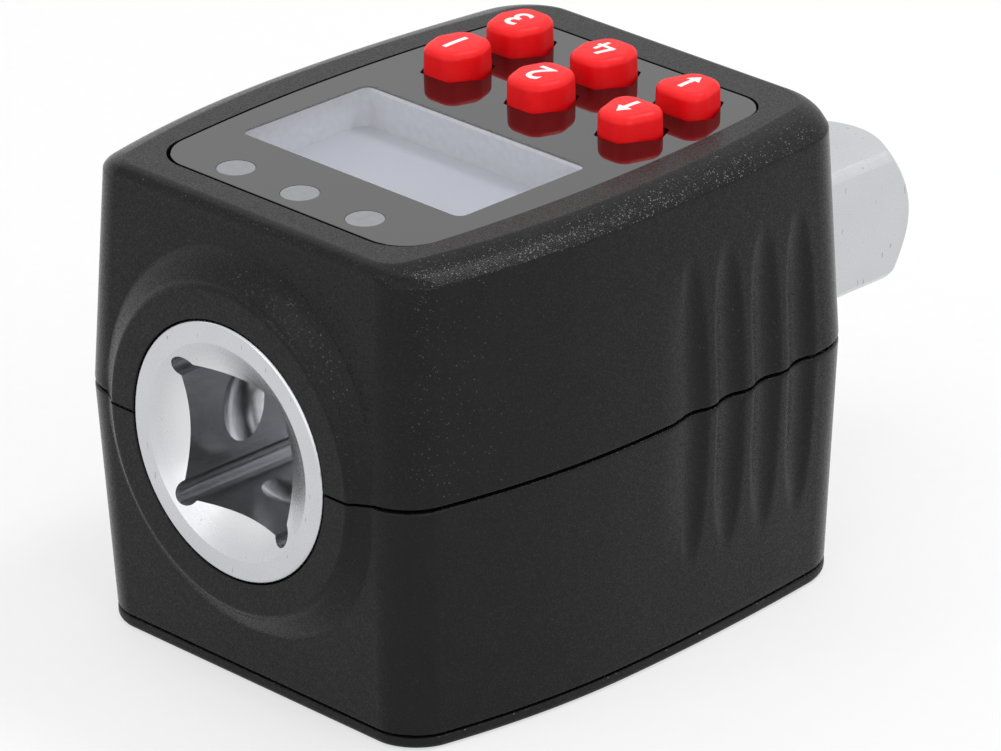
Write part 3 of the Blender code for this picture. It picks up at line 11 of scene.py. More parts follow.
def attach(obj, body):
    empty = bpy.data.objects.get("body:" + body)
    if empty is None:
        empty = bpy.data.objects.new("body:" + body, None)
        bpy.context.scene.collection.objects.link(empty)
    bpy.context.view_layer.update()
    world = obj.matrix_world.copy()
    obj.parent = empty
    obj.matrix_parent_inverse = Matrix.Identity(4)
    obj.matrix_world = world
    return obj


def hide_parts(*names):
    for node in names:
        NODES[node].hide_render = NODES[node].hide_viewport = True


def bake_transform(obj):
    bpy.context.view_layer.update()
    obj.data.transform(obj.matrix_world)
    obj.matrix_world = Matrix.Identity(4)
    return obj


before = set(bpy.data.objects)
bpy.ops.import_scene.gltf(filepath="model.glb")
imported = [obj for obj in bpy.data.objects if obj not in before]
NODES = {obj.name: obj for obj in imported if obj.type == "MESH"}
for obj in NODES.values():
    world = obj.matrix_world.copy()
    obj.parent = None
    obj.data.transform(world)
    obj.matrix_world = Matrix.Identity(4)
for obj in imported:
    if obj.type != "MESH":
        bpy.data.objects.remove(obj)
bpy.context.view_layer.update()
MM = 0.001

# Sizes, as in the part's source
GAP = 0.3 * MM
AXIS_Z = 34.6 * MM
SHOULDER_Z = 64.3 * MM
RIM_Z = 66.6 * MM
COVER_TOP_Z = 1.7 * MM
SHELL_BASE_Z = 2.0 * MM
RIM_ROUND = 1.6 * MM
WALL = 2.4 * MM
DECK_TOP_Z = 64.7 * MM
DECK_BASE_Z = 62.9 * MM
PARTING_HALF = 0.2 * MM
Plan = namedtuple("Plan", "front rear front_half middle middle_half rear_half front_corner rear_corner")
BODY = Plan(
    front=-41.2 * MM,
    rear=41.6 * MM,
    front_half=30.1 * MM,
    middle=-4.0 * MM,
    middle_half=35.6 * MM,
    rear_half=32.6 * MM,
    front_corner=5.2 * MM,
    rear_corner=8.0 * MM,
)
RIM = BODY._replace(
    front_half=24.4 * MM,
    middle=-2.5 * MM,
    middle_half=30.0 * MM,
    rear_half=25.0 * MM,
    front_corner=2.5 * MM,
    rear_corner=5.0 * MM,
)
POCKET = Plan(
    front=-33.9 * MM,
    rear=33.9 * MM,
    front_half=23.2 * MM,
    middle=-1.0 * MM,
    middle_half=25.65 * MM,
    rear_half=23.2 * MM,
    front_corner=5.5 * MM,
    rear_corner=4.5 * MM,
)
UPPER_DRAFT = (1.4 * MM, 2.0 * MM, 0.9 * MM)
LOWER_DRAFT = (1.6 * MM, 1.6 * MM, 0.8 * MM)
FLUTES = [(6.7 + 7.25 * i) * MM for i in range(4)]
FLUTE_RADIUS = 5.4 * MM
FLUTE_DEPTH = 0.75 * MM
FLUTE_HALF_LENGTH = 21.5 * MM
SHAFT_FRONT_Y = -43.0 * MM
DRIVE_END_Y = 77.0 * MM
HEAD_RADIUS = 17.7 * MM
JOURNAL_RADIUS = 15.0 * MM
RING_GAP = 0.5 * MM
FRONT_RING_GAP = 0.22 * MM
PANEL_GAP = 0.22 * MM
PANEL_FRONT_GAP = 0.6 * MM
DRIVE_SQUARE = 19.05 * MM
COLLAR_RADIUS = 22.6 * MM
REAR_COLLAR_RADIUS = 19.6 * MM
PANEL_TOP_Z = 66.5 * MM
PANEL_BASE_Z = 65.0 * MM
WINDOW = (40.8 * MM, 23.0 * MM, -9.1 * MM)
LAMP_SPOTS = [(k * 12.0 * MM, -29.1 * MM) for k in (-1, 0, 1)]
LAMP_RADIUS = 2.6 * MM
KEY_CORNER = 2.6 * MM
KEY_GAP = 0.25 * MM
KEY_TOP_Z = 70.5 * MM
ARROW_TOP_Z = 70.05 * MM
DETENT_Y = 64.0 * MM
SPRING_ENDS = (-3.975 * MM, 1.95 * MM)
SPRING_COIL = 1.95 * MM
SPRING_WIRE = 0.35 * MM
SPRING_TURNS = 3
COVER_SCREW_SPOTS = [(x * MM, y * MM) for x in (-22.0, 22.0) for y in (-35.2, 35.2)]

# Sizes of the pieces made here
EDGE_ROUND = 0.35 * MM
ROW_PITCH = 0.9 * MM
CUT_TOP_Z = 68.0 * MM
VIEW_MARGIN = 1.5 * MM
DISPLAY_BASE_Z = 59.0 * MM
DISPLAY_SEAT_Z = 60.63 * MM
MOUTH_RADIUS = 14.8 * MM
MOUTH_SLOPE = (14.8 - 9.65) / 2.6
MOUTH_DEPTH = 3.2 * MM
GROOVE_DEPTH = 12.0 * MM
GROOVE_HALF = 4.3 * MM
GROOVE_REACH = 11.0 * MM
GROOVE_ROUND = 5.46 * MM
BALL_RADIUS = 3.2 * MM

# The camera, matched to the photograph, and what the lamps point at
LENS = 245.15
SENSOR = 36.0
CAMERA_PLACE = (0.58845235, -0.57132270, 0.40444311)
CAMERA_RIGHT = (0.70383875, 0.71028421, -0.01036114)
CAMERA_UP = (-0.28749218, 0.29816059, 0.91019147)
CAMERA_BACK = (0.64958391, -0.63764928, 0.41405813)
LAMP_AIM = Vector((0.0, 0.0, 0.04))


def link(obj):
    bpy.context.scene.collection.objects.link(obj)
    return obj


def camera():
    data = bpy.data.cameras.new("camera")
    data.lens = LENS
    data.sensor_width = SENSOR
    data.clip_start = 0.05
    data.clip_end = 20.0
    obj = link(bpy.data.objects.new("camera", data))
    turn = Matrix((CAMERA_RIGHT, CAMERA_UP, CAMERA_BACK)).transposed().to_4x4()
    obj.matrix_world = Matrix.Translation(CAMERA_PLACE) @ turn
    bpy.context.scene.camera = obj


# Mesh helpers


def object_from(name, bm):
    bmesh.ops.recalc_face_normals(bm, faces=bm.faces)
    mesh = bpy.data.meshes.new(name)
    bm.to_mesh(mesh)
    bm.free()
    return link(bpy.data.objects.new(name, mesh))


def add_loft(bm, rings):
    """A closed skin over rings with equal numbers of points."""
    loops = [[bm.verts.new(point) for point in ring] for ring in rings]
    for low, high in zip(loops, loops[1:]):
        count = len(low)
        for i in range(count):
            j = (i + 1) % count
            bm.faces.new((low[i], low[j], high[j], high[i]))
    bm.faces.new(list(reversed(loops[0])))
    bm.faces.new(loops[-1])


def loft(name, rings):
    bm = bmesh.new()
    add_loft(bm, rings)
    return object_from(name, bm)


def turned(name, profile, axis="Y", centre=(0.0, 0.0, AXIS_Z), steps=144):
    """A solid of revolution from radius and place along an axis through the centre."""
    rings = []
    for radius, along in profile:
        ring = []
        for k in range(steps):
            angle = math.tau * k / steps
            a = radius * math.cos(angle)
            b = radius * math.sin(angle)
            if axis == "Y":
                point = (a, along, b)
            elif axis == "X":
                point = (along, a, b)
            else:
                point = (a, b, along)
            ring.append([point[i] + centre[i] for i in range(3)])
        rings.append(ring)
    return loft(name, rings)


def rounded_ring(core, radius, z, step=9.0):
    """A ring a radius away from a convex core outline that runs anticlockwise."""
    count = len(core)
    ring = []
    for i in range(count):
        before = core[i - 1]
        here = core[i]
        after = core[(i + 1) % count]
        start = math.atan2(before[0] - here[0], here[1] - before[1])
        end = math.atan2(here[0] - after[0], after[1] - here[1])
        turn = (end - start) % math.tau
        steps = max(1, math.ceil(math.degrees(turn) / step - 0.01))
        for k in range(steps + 1):
            angle = start + turn * k / steps
            ring.append((here[0] + radius * math.cos(angle), here[1] + radius * math.sin(angle), z))
    return ring


def rectangle(width, length, corner, middle_y=0.0):
    x = width / 2 - corner
    y = length / 2 - corner
    return [(-x, middle_y - y), (x, middle_y - y), (x, middle_y + y), (-x, middle_y + y)]


def moved(ring, x, y):
    return [(point[0] + x, point[1] + y, point[2]) for point in ring]


def combine(target, operation, *others):
    """Applies Booleans one after another and removes the other objects."""
    for other in others:
        modifier = target.modifiers.new(other.name, "BOOLEAN")
        modifier.operation = operation
        modifier.solver = "EXACT"
        modifier.object = other
    bake(target)
    for other in others:
        bpy.data.objects.remove(other, do_unlink=True)
    return target


def bake(obj):
    bpy.context.view_layer.update()
    graph = bpy.context.evaluated_depsgraph_get()
    mesh = bpy.data.meshes.new_from_object(obj.evaluated_get(graph))
    obj.modifiers.clear()
    obj.data = mesh
    return obj


def smooth(obj, angle=32.0):
    """Smooth shading with sharp edges kept and flat faces kept flat."""
    bm = bmesh.new()
    bm.from_mesh(obj.data)
    bmesh.ops.dissolve_degenerate(bm, edges=bm.edges, dist=0.003 * MM)
    bm.to_mesh(obj.data)
    bm.free()
    obj.data.shade_smooth()
    obj.data.set_sharp_from_angle(angle=math.radians(angle))
    modifier = obj.modifiers.new("Normals", "WEIGHTED_NORMAL")
    modifier.keep_sharp = True
    modifier.weight = 80
    return bake(obj)


def piece(obj, body, slot, look, *replaced):
    """Hands a finished mesh to the frame: its body and the nodes it stands for. The slot is not used."""
    obj.data.materials.clear()
    obj.data.materials.append(look)
    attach(obj, body)
    if replaced:
        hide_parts(*replaced)
    return obj


def curve_through(points, count):
    """Points on a smooth curve through the given points."""
    result = []
    for k in range(count + 1):
        at = k / count * (len(points) - 1)
        i = min(int(at), len(points) - 2)
        t = at - i
        p0 = points[max(i - 1, 0)]
        p1 = points[i]
        p2 = points[i + 1]
        p3 = points[min(i + 2, len(points) - 1)]
        spot = []
        for a, b, c, d in zip(p0, p1, p2, p3):
            cube = (3 * b - a - 3 * c + d) * t**3
            square = (2 * a - 5 * b + 4 * c - d) * t**2
            spot.append(0.5 * (2 * b + (c - a) * t + square + cube))
        result.append(tuple(spot))
    return result


# Housing


def half_width(plan, y):
    if y < plan.middle:
        share = (plan.middle - y) / (plan.middle - plan.front)
        end = plan.front_half
    else:
        share = (y - plan.middle) / (plan.rear - plan.middle)
        end = plan.rear_half
    return end + (plan.middle_half - end) * (1 - share**2)


def side_stations():
    """Shares of the side's straight part, close together where the flutes are."""
    start = BODY.front + BODY.front_corner
    end = BODY.rear - BODY.rear_corner
    stations = []
    y = start + 2.5 * MM
    while y < end - 0.3 * MM:
        stations.append((y - start) / (end - start))
        y += 0.45 * MM if y > 2.6 * MM else 2.4 * MM
    return stations


STATIONS = side_stations()
CORNER_STEPS = 14


def plan_ring(plan, z, side=0.0, front=0.0, rear=0.0, flute=None, stations=STATIONS):
    """The bulged outline with round corners, set in by side, front and rear, and by the flutes."""
    near = plan.front + front
    far = plan.rear - rear
    right = []
    for k in range(CORNER_STEPS + 1):
        turn = math.pi / 2 * k / CORNER_STEPS
        y = near + plan.front_corner * (1 - math.cos(turn))
        right.append((half_width(plan, y) - side - plan.front_corner * (1 - math.sin(turn)), y))
    straight_start = near + plan.front_corner
    straight_end = far - plan.rear_corner
    for share in stations:
        y = straight_start + (straight_end - straight_start) * share
        depth = flute(y) if flute else 0.0
        right.append((half_width(plan, y) - side - depth, y))
    for k in reversed(range(CORNER_STEPS + 1)):
        turn = math.pi / 2 * k / CORNER_STEPS
        y = far - plan.rear_corner * (1 - math.cos(turn))
        right.append((half_width(plan, y) - side - plan.rear_corner * (1 - math.sin(turn)), y))
    left = [(-x, y) for x, y in reversed(right)]
    return [(x, y, z) for x, y in right + left]


def flute_depth(y, z):
    share = abs(z - AXIS_Z) / FLUTE_HALF_LENGTH
    radius = FLUTE_RADIUS - FLUTE_DEPTH * share**4
    soft = 0.05 * MM
    offset = min(abs(y - middle) for middle in FLUTES)
    if offset > 4.5 * MM or radius < 4.5 * MM:
        return 0.0
    depth = math.sqrt(radius**2 - offset**2) - (FLUTE_RADIUS - FLUTE_DEPTH)
    return soft * math.log1p(math.exp(min(30.0, depth / soft)))


def body_ring(z, inset=0.0):
    if z >= AXIS_Z:
        share = (z - AXIS_Z) / (SHOULDER_Z - AXIS_Z)
        side, front, rear = [share * amount for amount in UPPER_DRAFT]
    else:
        share = (AXIS_Z - z) / (AXIS_Z - SHELL_BASE_Z)
        side, front, rear = [share * amount for amount in LOWER_DRAFT]
    return plan_ring(BODY, z, side + inset, front + inset, rear + inset, lambda y: flute_depth(y, z))


def shoulder_ring(z, blend, extra=0.0):
    share = (z - AXIS_Z) / (SHOULDER_Z - AXIS_Z)
    side, front, rear = [min(share, 1.0) * amount for amount in UPPER_DRAFT]
    rise = max(0.0, z - (RIM_Z - RIM_ROUND))
    rounding = RIM_ROUND - math.sqrt(max(0.0, RIM_ROUND**2 - rise**2))
    low = plan_ring(BODY, z, side, front + rounding, rear + rounding)
    high = plan_ring(RIM, z, extra, front + rounding, rear + rounding)
    return [tuple(a + (b - a) * blend for a, b in zip(p, q)) for p, q in zip(low, high)]


def bulge(share):
    """How far in the shoulder is at a share of its height: a little outside the straight line."""
    return 0.62 * share + 0.38 * share**4


def edge_rows(start, direction):
    """Heights and insets of a small round at the edge of a wall."""
    rows = []
    for k in range(4):
        turn = math.pi / 2 * k / 4
        rise = EDGE_ROUND * (1 - math.cos(turn))
        rows.append((start + direction * rise, EDGE_ROUND * (1 - math.sin(turn))))
    return rows


def levels(low, high, pitch):
    count = math.ceil((high - low) / pitch)
    return [low + (high - low) * k / count for k in range(count + 1)]


def front_collar():
    face = SHAFT_FRONT_Y + 0.1 * MM
    shape = [
        (COLLAR_RADIUS - 0.55 * MM, face),
        (COLLAR_RADIUS - 0.05 * MM, face + 0.25 * MM),
        (COLLAR_RADIUS + 0.42 * MM, face + 0.7 * MM),
        (COLLAR_RADIUS + 1.35 * MM, face + 1.25 * MM),
        (COLLAR_RADIUS + 3.0 * MM, face + 2.3 * MM),
        (COLLAR_RADIUS + 4.4 * MM, face + 3.6 * MM),
    ]
    return turned("collar", [(COLLAR_RADIUS - 0.91 * MM, face), *curve_through(shape, 30)])


def rear_collar():
    face = BODY.rear + 1.5 * MM
    shape = [
        (REAR_COLLAR_RADIUS + 4.6 * MM, BODY.rear - 1.7 * MM),
        (REAR_COLLAR_RADIUS + 3.0 * MM, BODY.rear - 0.4 * MM),
        (REAR_COLLAR_RADIUS + 0.4 * MM, face - 0.6 * MM),
        (REAR_COLLAR_RADIUS - 0.6 * MM, face),
    ]
    return turned("collar_rear", curve_through(shape, 24))


def way():
    """The space of the shaft through the shells."""
    front = HEAD_RADIUS + FRONT_RING_GAP
    rear = JOURNAL_RADIUS + RING_GAP
    edge = 0.15 * MM
    profile = [
        (front + edge + 2.0 * MM, SHAFT_FRONT_Y - 1.9 * MM),
        (front + edge, SHAFT_FRONT_Y + 0.1 * MM),
        (front, SHAFT_FRONT_Y + 0.1 * MM + edge),
        (front, -10.0 * MM),
        (rear, -10.0 * MM),
        (rear, BODY.rear + 6.0 * MM),
    ]
    return turned("way", profile)


def half_space(name, low, high):
    bm = bmesh.new()
    for vert in bmesh.ops.create_cube(bm, size=2.0)["verts"]:
        vert.co = [(0.06, 0.06, high)[i] if vert.co[i] > 0 else (-0.06, -0.06, low)[i] for i in range(3)]
    return object_from(name, bm)


def prism(name, ring_at, low, high):
    return loft(name, [ring_at(low), ring_at(high)])


def window_ring(margin, z):
    width, length, middle = WINDOW
    return rounded_ring(rectangle(width, length, 1.4 * MM, middle), 1.4 * MM + margin, z)


def disc_ring(spot, radius, z, steps=64):
    turns = [math.tau * k / steps for k in range(steps)]
    return [(spot[0] + radius * math.cos(turn), spot[1] + radius * math.sin(turn), z) for turn in turns]


def plain_key_core():
    x = 4.2 * MM - KEY_CORNER
    y = 4.45 * MM - KEY_CORNER
    flat = 0.95 * MM
    return [(-flat, -y), (flat, -y), (x, 0.0), (flat, y), (-flat, y), (-x, 0.0)]


def arrow_key_core(direction):
    x = 4.15 * MM - KEY_CORNER
    y = 3.95 * MM - KEY_CORNER
    tip = 0.7 * MM
    if direction > 0:
        return [(-x, -y), (x, -y), (tip, y), (-tip, y)]
    return [(-tip, -y), (tip, -y), (x, y), (-x, y)]


KEYS = {
    "key_unit": (-15.7 * MM, 14.4 * MM, plain_key_core()),
    "key_peak": (0.0, 14.4 * MM, plain_key_core()),
    "key_down": (15.7 * MM, 14.6 * MM, arrow_key_core(-1)),
    "key_clear": (-15.7 * MM, 26.1 * MM, plain_key_core()),
    "key_memory": (0.0, 26.1 * MM, plain_key_core()),
    "key_up": (15.7 * MM, 26.3 * MM, arrow_key_core(1)),
}


def key_prisms(name, low, high):
    bm = bmesh.new()
    for x, y, core in KEYS.values():
        add_loft(bm, [moved(rounded_ring(core, KEY_CORNER + KEY_GAP, z), x, y) for z in (low, high)])
    return object_from(name, bm)


def panel_key_holes(low, high):
    """Six-sided holes that stand off from the keys only at their left and right corners."""
    corner = 0.5 * MM
    bm = bmesh.new()
    for name, (x, y, _) in KEYS.items():
        front, middle, rear = [(2.4, -3.9), (4.7, 0.0), (2.4, 3.9)]
        if name == "key_up":
            front, middle, rear = [(3.3, -3.6), (4.6, -0.9), (1.9, 3.65)]
        elif name == "key_down":
            front, middle, rear = [(1.9, -3.65), (4.6, 0.9), (3.3, 3.6)]
        right = [(px * MM, py * MM) for px, py in (front, middle, rear)]
        core = [(-right[0][0], right[0][1]), *right, (-right[2][0], right[2][1]), (-right[1][0], right[1][1])]
        add_loft(bm, [moved(rounded_ring(core, corner, z, 20.0), x, y) for z in (low, high)])
    return object_from("panel_holes", bm)


def hollow(levels_and_insets):
    """The space inside a shell, a wall's thickness in from the outside."""
    rings = []
    for z, inset in levels_and_insets:
        side = WALL + inset
        rings.append(plan_ring(BODY, z, side, side, side, stations=STATIONS[::3]))
    return loft("hollow", rings)


def make_upper_housing(look):
    low = AXIS_Z + PARTING_HALF
    rings = [body_ring(z, inset) for z, inset in edge_rows(low, 1)]
    crease = SHOULDER_Z - 0.18 * MM
    rings += [body_ring(z) for z in levels(low + EDGE_ROUND, crease, ROW_PITCH)]
    height = RIM_Z - SHOULDER_Z
    for k in range(1, 6):
        t = k / 5
        z = (1 - t) ** 2 * crease + 2 * t * (1 - t) * SHOULDER_Z + t * t * (SHOULDER_Z + 0.06 * height)
        rings.append(shoulder_ring(z, bulge(0.06) * t * t))
    for share in (0.2, 0.35, 0.5, 0.65):
        rings.append(shoulder_ring(SHOULDER_Z + share * height, bulge(share)))
    start = 0.8
    for k in range(0, 11):
        t = k / 10
        blend = bulge(start) * (1 - t) ** 2 + 2 * t * (1 - t) + t * t
        z = RIM_Z - (1 - t) ** 2 * (1 - start) * height
        rings.append(shoulder_ring(z, blend, 0.35 * MM * t * t))
    shell = loft("housing_upper", rings)
    combine(shell, "UNION", front_collar(), rear_collar())
    cuts = [hollow(((AXIS_Z - 2.0 * MM, 0.0), (DECK_BASE_Z, 1.6 * MM))), way()]
    pocket = [plan_ring(POCKET, z, stations=STATIONS[::3]) for z in (DECK_TOP_Z, CUT_TOP_Z + 2.0 * MM)]
    cuts.append(loft("pocket", pocket))
    under_deck = DECK_BASE_Z - MM
    cuts.append(prism("opening", lambda z: window_ring(VIEW_MARGIN, z), under_deck, CUT_TOP_Z))
    for spot in LAMP_SPOTS:
        cuts.append(prism("lamp_hole", lambda z: disc_ring(spot, LAMP_RADIUS + GAP, z), under_deck, CUT_TOP_Z))
    cuts.append(key_prisms("key_holes", under_deck, CUT_TOP_Z))
    cuts.append(half_space("under", -0.01, low))
    combine(shell, "DIFFERENCE", *cuts)
    return piece(smooth(shell), "housing", "housing_plastic", look, "upper_housing")


def make_lower_housing(look):
    high = AXIS_Z - PARTING_HALF
    rings = [body_ring(z, inset) for z, inset in edge_rows(SHELL_BASE_Z, 1)]
    rings += [body_ring(z) for z in levels(SHELL_BASE_Z + EDGE_ROUND, high - EDGE_ROUND, ROW_PITCH)]
    rings += [body_ring(z, inset) for z, inset in reversed(edge_rows(high, -1))]
    shell = loft("housing_lower", rings)
    combine(shell, "UNION", front_collar(), rear_collar())
    space = hollow(((SHELL_BASE_Z + WALL, 2.0 * MM), (AXIS_Z + 2.0 * MM, 0.0)))
    combine(shell, "DIFFERENCE", space, way(), half_space("above", high, 0.09))
    return piece(smooth(shell), "housing", "housing_plastic", look, "lower_housing")


def make_cover(look):
    side, front, rear = LOWER_DRAFT
    rings = []
    for turn in range(0, 91, 15):
        angle = math.radians(turn)
        inset = 0.9 * MM * (1 - math.sin(angle))
        z = 0.9 * MM * (1 - math.cos(angle))
        rings.append(plan_ring(BODY, z, side + inset, front + inset, rear + inset))
    top = COVER_TOP_Z
    rings.append(plan_ring(BODY, top - 0.15 * MM, side, front, rear))
    rings.append(plan_ring(BODY, top, side + 0.15 * MM, front + 0.15 * MM, rear + 0.15 * MM))
    cover = loft("cover_plate", rings)
    sink = [(3.05 * MM, -0.5 * MM), (1.3 * MM, 1.15 * MM), (1.3 * MM, 3.0 * MM)]
    cuts = [turned("sink", sink, "Z", (x, y, 0.0), 48) for x, y in COVER_SCREW_SPOTS]
    combine(cover, "DIFFERENCE", *cuts)
    return piece(smooth(cover), "housing", "cover_plastic", look, "bottom_cover")


def make_cover_screws(look):
    """Countersunk screws with a cross recess."""
    profile = [(2.0, 0.1), (2.15, 0.16), (2.12, 0.3), (1.0, 1.25), (1.0, 6.6), (0.5, 7.2)]
    profile = [(radius * MM, z * MM) for radius, z in profile]
    for index, (x, y) in enumerate(COVER_SCREW_SPOTS, 1):
        screw = turned(f"cover_screw_fine_{index}", profile, "Z", (x, y, 0.0), 48)
        bars = []
        for turn in (0.4, 0.4 + math.pi / 2):
            bm = bmesh.new()
            for vert in bmesh.ops.create_cube(bm, size=1.0)["verts"]:
                taper = 0.6 if vert.co.z > 0 else 1.0
                size = Vector((2.3 * taper, 0.5 * taper, 1.6)) * MM
                vert.co = vert.co * size
            place = Matrix.Translation((x, y, 0.1 * MM)) @ Matrix.Rotation(turn, 4, "Z")
            bmesh.ops.transform(bm, matrix=place, verts=bm.verts)
            bars.append(object_from("bar", bm))
        combine(screw, "DIFFERENCE", *bars)
        piece(smooth(screw, 40), "housing", "spring_steel", look, f"cover_screw_{index}")


def make_panel(look, glass, well, display, lens):
    """The printed plate, the clear pane in it, the display in its frame, and the three lamps."""
    edge = 0.05 * MM
    rings = []
    for z, inset in ((PANEL_BASE_Z, 0.0), (PANEL_TOP_Z - edge, 0.0), (PANEL_TOP_Z, edge)):
        gap = PANEL_GAP + inset
        rings.append(plan_ring(POCKET, z, gap, PANEL_FRONT_GAP + inset, gap, stations=STATIONS[::2]))
    plate = loft("panel_plate", rings)
    under = PANEL_BASE_Z - MM
    cuts = [prism("view", lambda z: window_ring(0.0, z), under, CUT_TOP_Z)]
    cuts.append(prism("view_low", lambda z: window_ring(VIEW_MARGIN, z), under, PANEL_TOP_Z - 0.25 * MM))
    for spot in LAMP_SPOTS:
        cuts.append(prism("lamp_view", lambda z: disc_ring(spot, LAMP_RADIUS, z), under, CUT_TOP_Z))
    cuts.append(panel_key_holes(under, CUT_TOP_Z))
    combine(plate, "DIFFERENCE", *cuts)
    piece(smooth(plate, 25), "housing", "panel_print", look, "display_panel", "panel_mask")

    width, length, middle = WINDOW
    fit = 0.01 * MM
    pane_levels = (PANEL_TOP_Z - 0.8 * MM, PANEL_TOP_Z - 0.004 * MM)
    pane = loft("window_pane", [window_ring(-fit, z) for z in pane_levels])
    piece(smooth(pane, 25), "housing", "panel_window", glass)
    base = DISPLAY_BASE_Z
    corner = 0.5 * MM
    core = rectangle(width + 2.4 * MM, length + 2.4 * MM, corner, middle)
    body = prism("display_frame", lambda z: rounded_ring(core, corner + 1.3 * MM, z), base, DECK_BASE_Z - GAP)
    collar_base = DISPLAY_SEAT_Z + 0.07 * MM
    collar = prism("collar_of_frame", lambda z: window_ring(1.2 * MM, z), collar_base, PANEL_TOP_Z - 0.3 * MM)
    combine(body, "UNION", collar)
    seat = prism("seat", lambda z: rounded_ring(core, corner + GAP, z), base - MM, DISPLAY_SEAT_Z)
    shift = -0.4 * MM
    view = prism("view_hole", lambda z: moved(window_ring(0.3 * MM, z), shift, shift), base, CUT_TOP_Z)
    combine(body, "DIFFERENCE", seat, view)
    piece(smooth(body, 25), "housing", "frame_plastic", well, "lcd_frame")
    glass_rows = ((58.9 * MM, 0.0), (60.57 * MM, 0.0), (60.625 * MM, 0.05 * MM))
    screen = loft("display_glass", [rounded_ring(core, corner - inset, z) for z, inset in glass_rows])
    piece(smooth(screen, 25), "housing", "display_glass", display, "lcd_module")
    for name, spot in zip(("left", "middle", "right"), LAMP_SPOTS):
        profile = [(2.9 * MM, 58.9 * MM), (2.9 * MM, 59.8 * MM), (LAMP_RADIUS - fit, 59.8 * MM)]
        top = PANEL_TOP_Z - 0.02 * MM
        profile += [(LAMP_RADIUS - fit, top - 0.08 * MM), (LAMP_RADIUS - 0.08 * MM, top)]
        lamp = turned("lamp_" + name + "_lens", profile, "Z", (*spot, 0.0), 64)
        piece(smooth(lamp, 25), "housing", "lamp_lens", lens, "lamp_" + name)


def key_cap(name, raised=0.0):
    """The rubber cap of a key: upright sides, a wide round edge and a slightly domed top."""
    x, y, core = KEYS[name]
    top = ARROW_TOP_Z if name in ("key_up", "key_down") else KEY_TOP_Z
    top += raised
    edge = 1.15 * MM
    dome = 0.12 * MM
    rings = [(KEY_CORNER, 61.7 * MM), (KEY_CORNER, 63.0 * MM), (KEY_CORNER - 0.03 * MM, 66.0 * MM)]
    for k in range(11):
        turn = math.pi / 2 * k / 10
        inset = 0.1 * MM + edge * (1 - math.cos(turn))
        rings.append((KEY_CORNER - inset, top - edge - dome + edge * math.sin(turn)))
    shape = [rounded_ring(core, radius, z) for radius, z in rings]
    last = shape[-1]
    for shrink in (0.8, 0.6, 0.4, 0.2):
        shape.append([(px * shrink, py * shrink, top - dome * shrink**2) for px, py, _ in last])
    return loft(name + "_cap", [moved(ring, x, y) for ring in shape])


def print_on(name, mark, look):
    """Cuts a mark to the top of a key, so that it lies on it as a print does."""
    combine(mark, "INTERSECT", key_cap(name, 0.015 * MM))
    piece(smooth(mark, 25), name, "key_rubber", look)


def make_keys(look, print_look):
    """The six caps, and the arrows on two of them."""
    for name in KEYS:
        piece(smooth(key_cap(name), 60), name, "key_rubber", look, name)
    outline = [(-0.36, -2.1), (0.36, -2.1), (0.36, 0.45), (1.15, 0.45), (0.0, 2.15)]
    outline += [(-1.15, 0.45), (-0.36, 0.45)]
    for name, direction in (("key_down", -1), ("key_up", 1)):
        x, y, _ = KEYS[name]
        rings = []
        for z in (ARROW_TOP_Z - 1.2 * MM, ARROW_TOP_Z + MM):
            rings.append([(px * MM * direction + x, py * MM * direction + y, z) for px, py in outline])
        print_on(name, loft(name + "_mark", rings), print_look)


def make_numbers(print_look):
    """Plain numbers on the other four keys. The 4 has an outline of its own."""
    for index, name in enumerate(("key_unit", "key_peak", "key_clear")):
        x, y, _ = KEYS[name]
        data = bpy.data.curves.new(name + "_digit", "FONT")
        data.body = str(index + 1)
        data.size = 6.0 * MM
        data.align_x = "CENTER"
        data.align_y = "CENTER"
        data.extrude = MM
        data.offset = 0.07 * MM
        data.resolution_u = 6
        obj = link(bpy.data.objects.new(name + "_digit", data))
        obj.rotation_euler = (0.0, 0.0, math.pi)
        obj.location = (x + 0.013 * MM, y - 0.1 * MM, KEY_TOP_Z)
        bpy.context.view_layer.update()
        graph = bpy.context.evaluated_depsgraph_get()
        bm = bmesh.new()
        bm.from_mesh(bpy.data.meshes.new_from_object(obj.evaluated_get(graph)))
        bmesh.ops.transform(bm, matrix=obj.matrix_world, verts=bm.verts)
        bmesh.ops.remove_doubles(bm, verts=bm.verts, dist=0.001 * MM)
        bpy.data.objects.remove(obj, do_unlink=True)
        print_on(name, object_from(name + "_mark", bm), print_look)
    x, y, _ = KEYS["key_memory"]
    four = [(0.45, -2.0), (1.05, -2.0), (1.05, -0.95), (1.5, -0.95), (1.5, -0.35), (1.05, -0.35), (1.05, 0.9)]
    four += [(0.45, 0.9), (0.45, -0.35), (-0.8, -0.35), (-0.15, 2.0), (-0.8, 2.0), (-1.5, -0.4), (-1.5, -0.95)]
    four += [(0.45, -0.95)]
    flat = [(x - px * MM, y - (py + 0.1) * MM) for px, py in four]
    rings = [[(px, py, KEY_TOP_Z + rise) for px, py in flat] for rise in (-MM, MM)]
    print_on("key_memory", loft("key_memory_mark", rings), print_look)


# Shaft


def socket_outline():
    """The female square with a round relief in each corner."""
    half = 19.3 * MM / 2
    relief = 1.65 * MM
    centre = (14.25 * MM - relief) / math.sqrt(2)
    start = -math.acos((half - centre) / relief)
    sweep = math.pi / 2 - 2 * start
    points = []
    for quarter in range(4):
        turn = quarter * math.pi / 2
        for k in range(25):
            angle = start + sweep * k / 24
            x = centre + relief * math.cos(angle)
            z = centre + relief * math.sin(angle)
            points.append((x * math.cos(turn) - z * math.sin(turn), x * math.sin(turn) + z * math.cos(turn)))
    return points


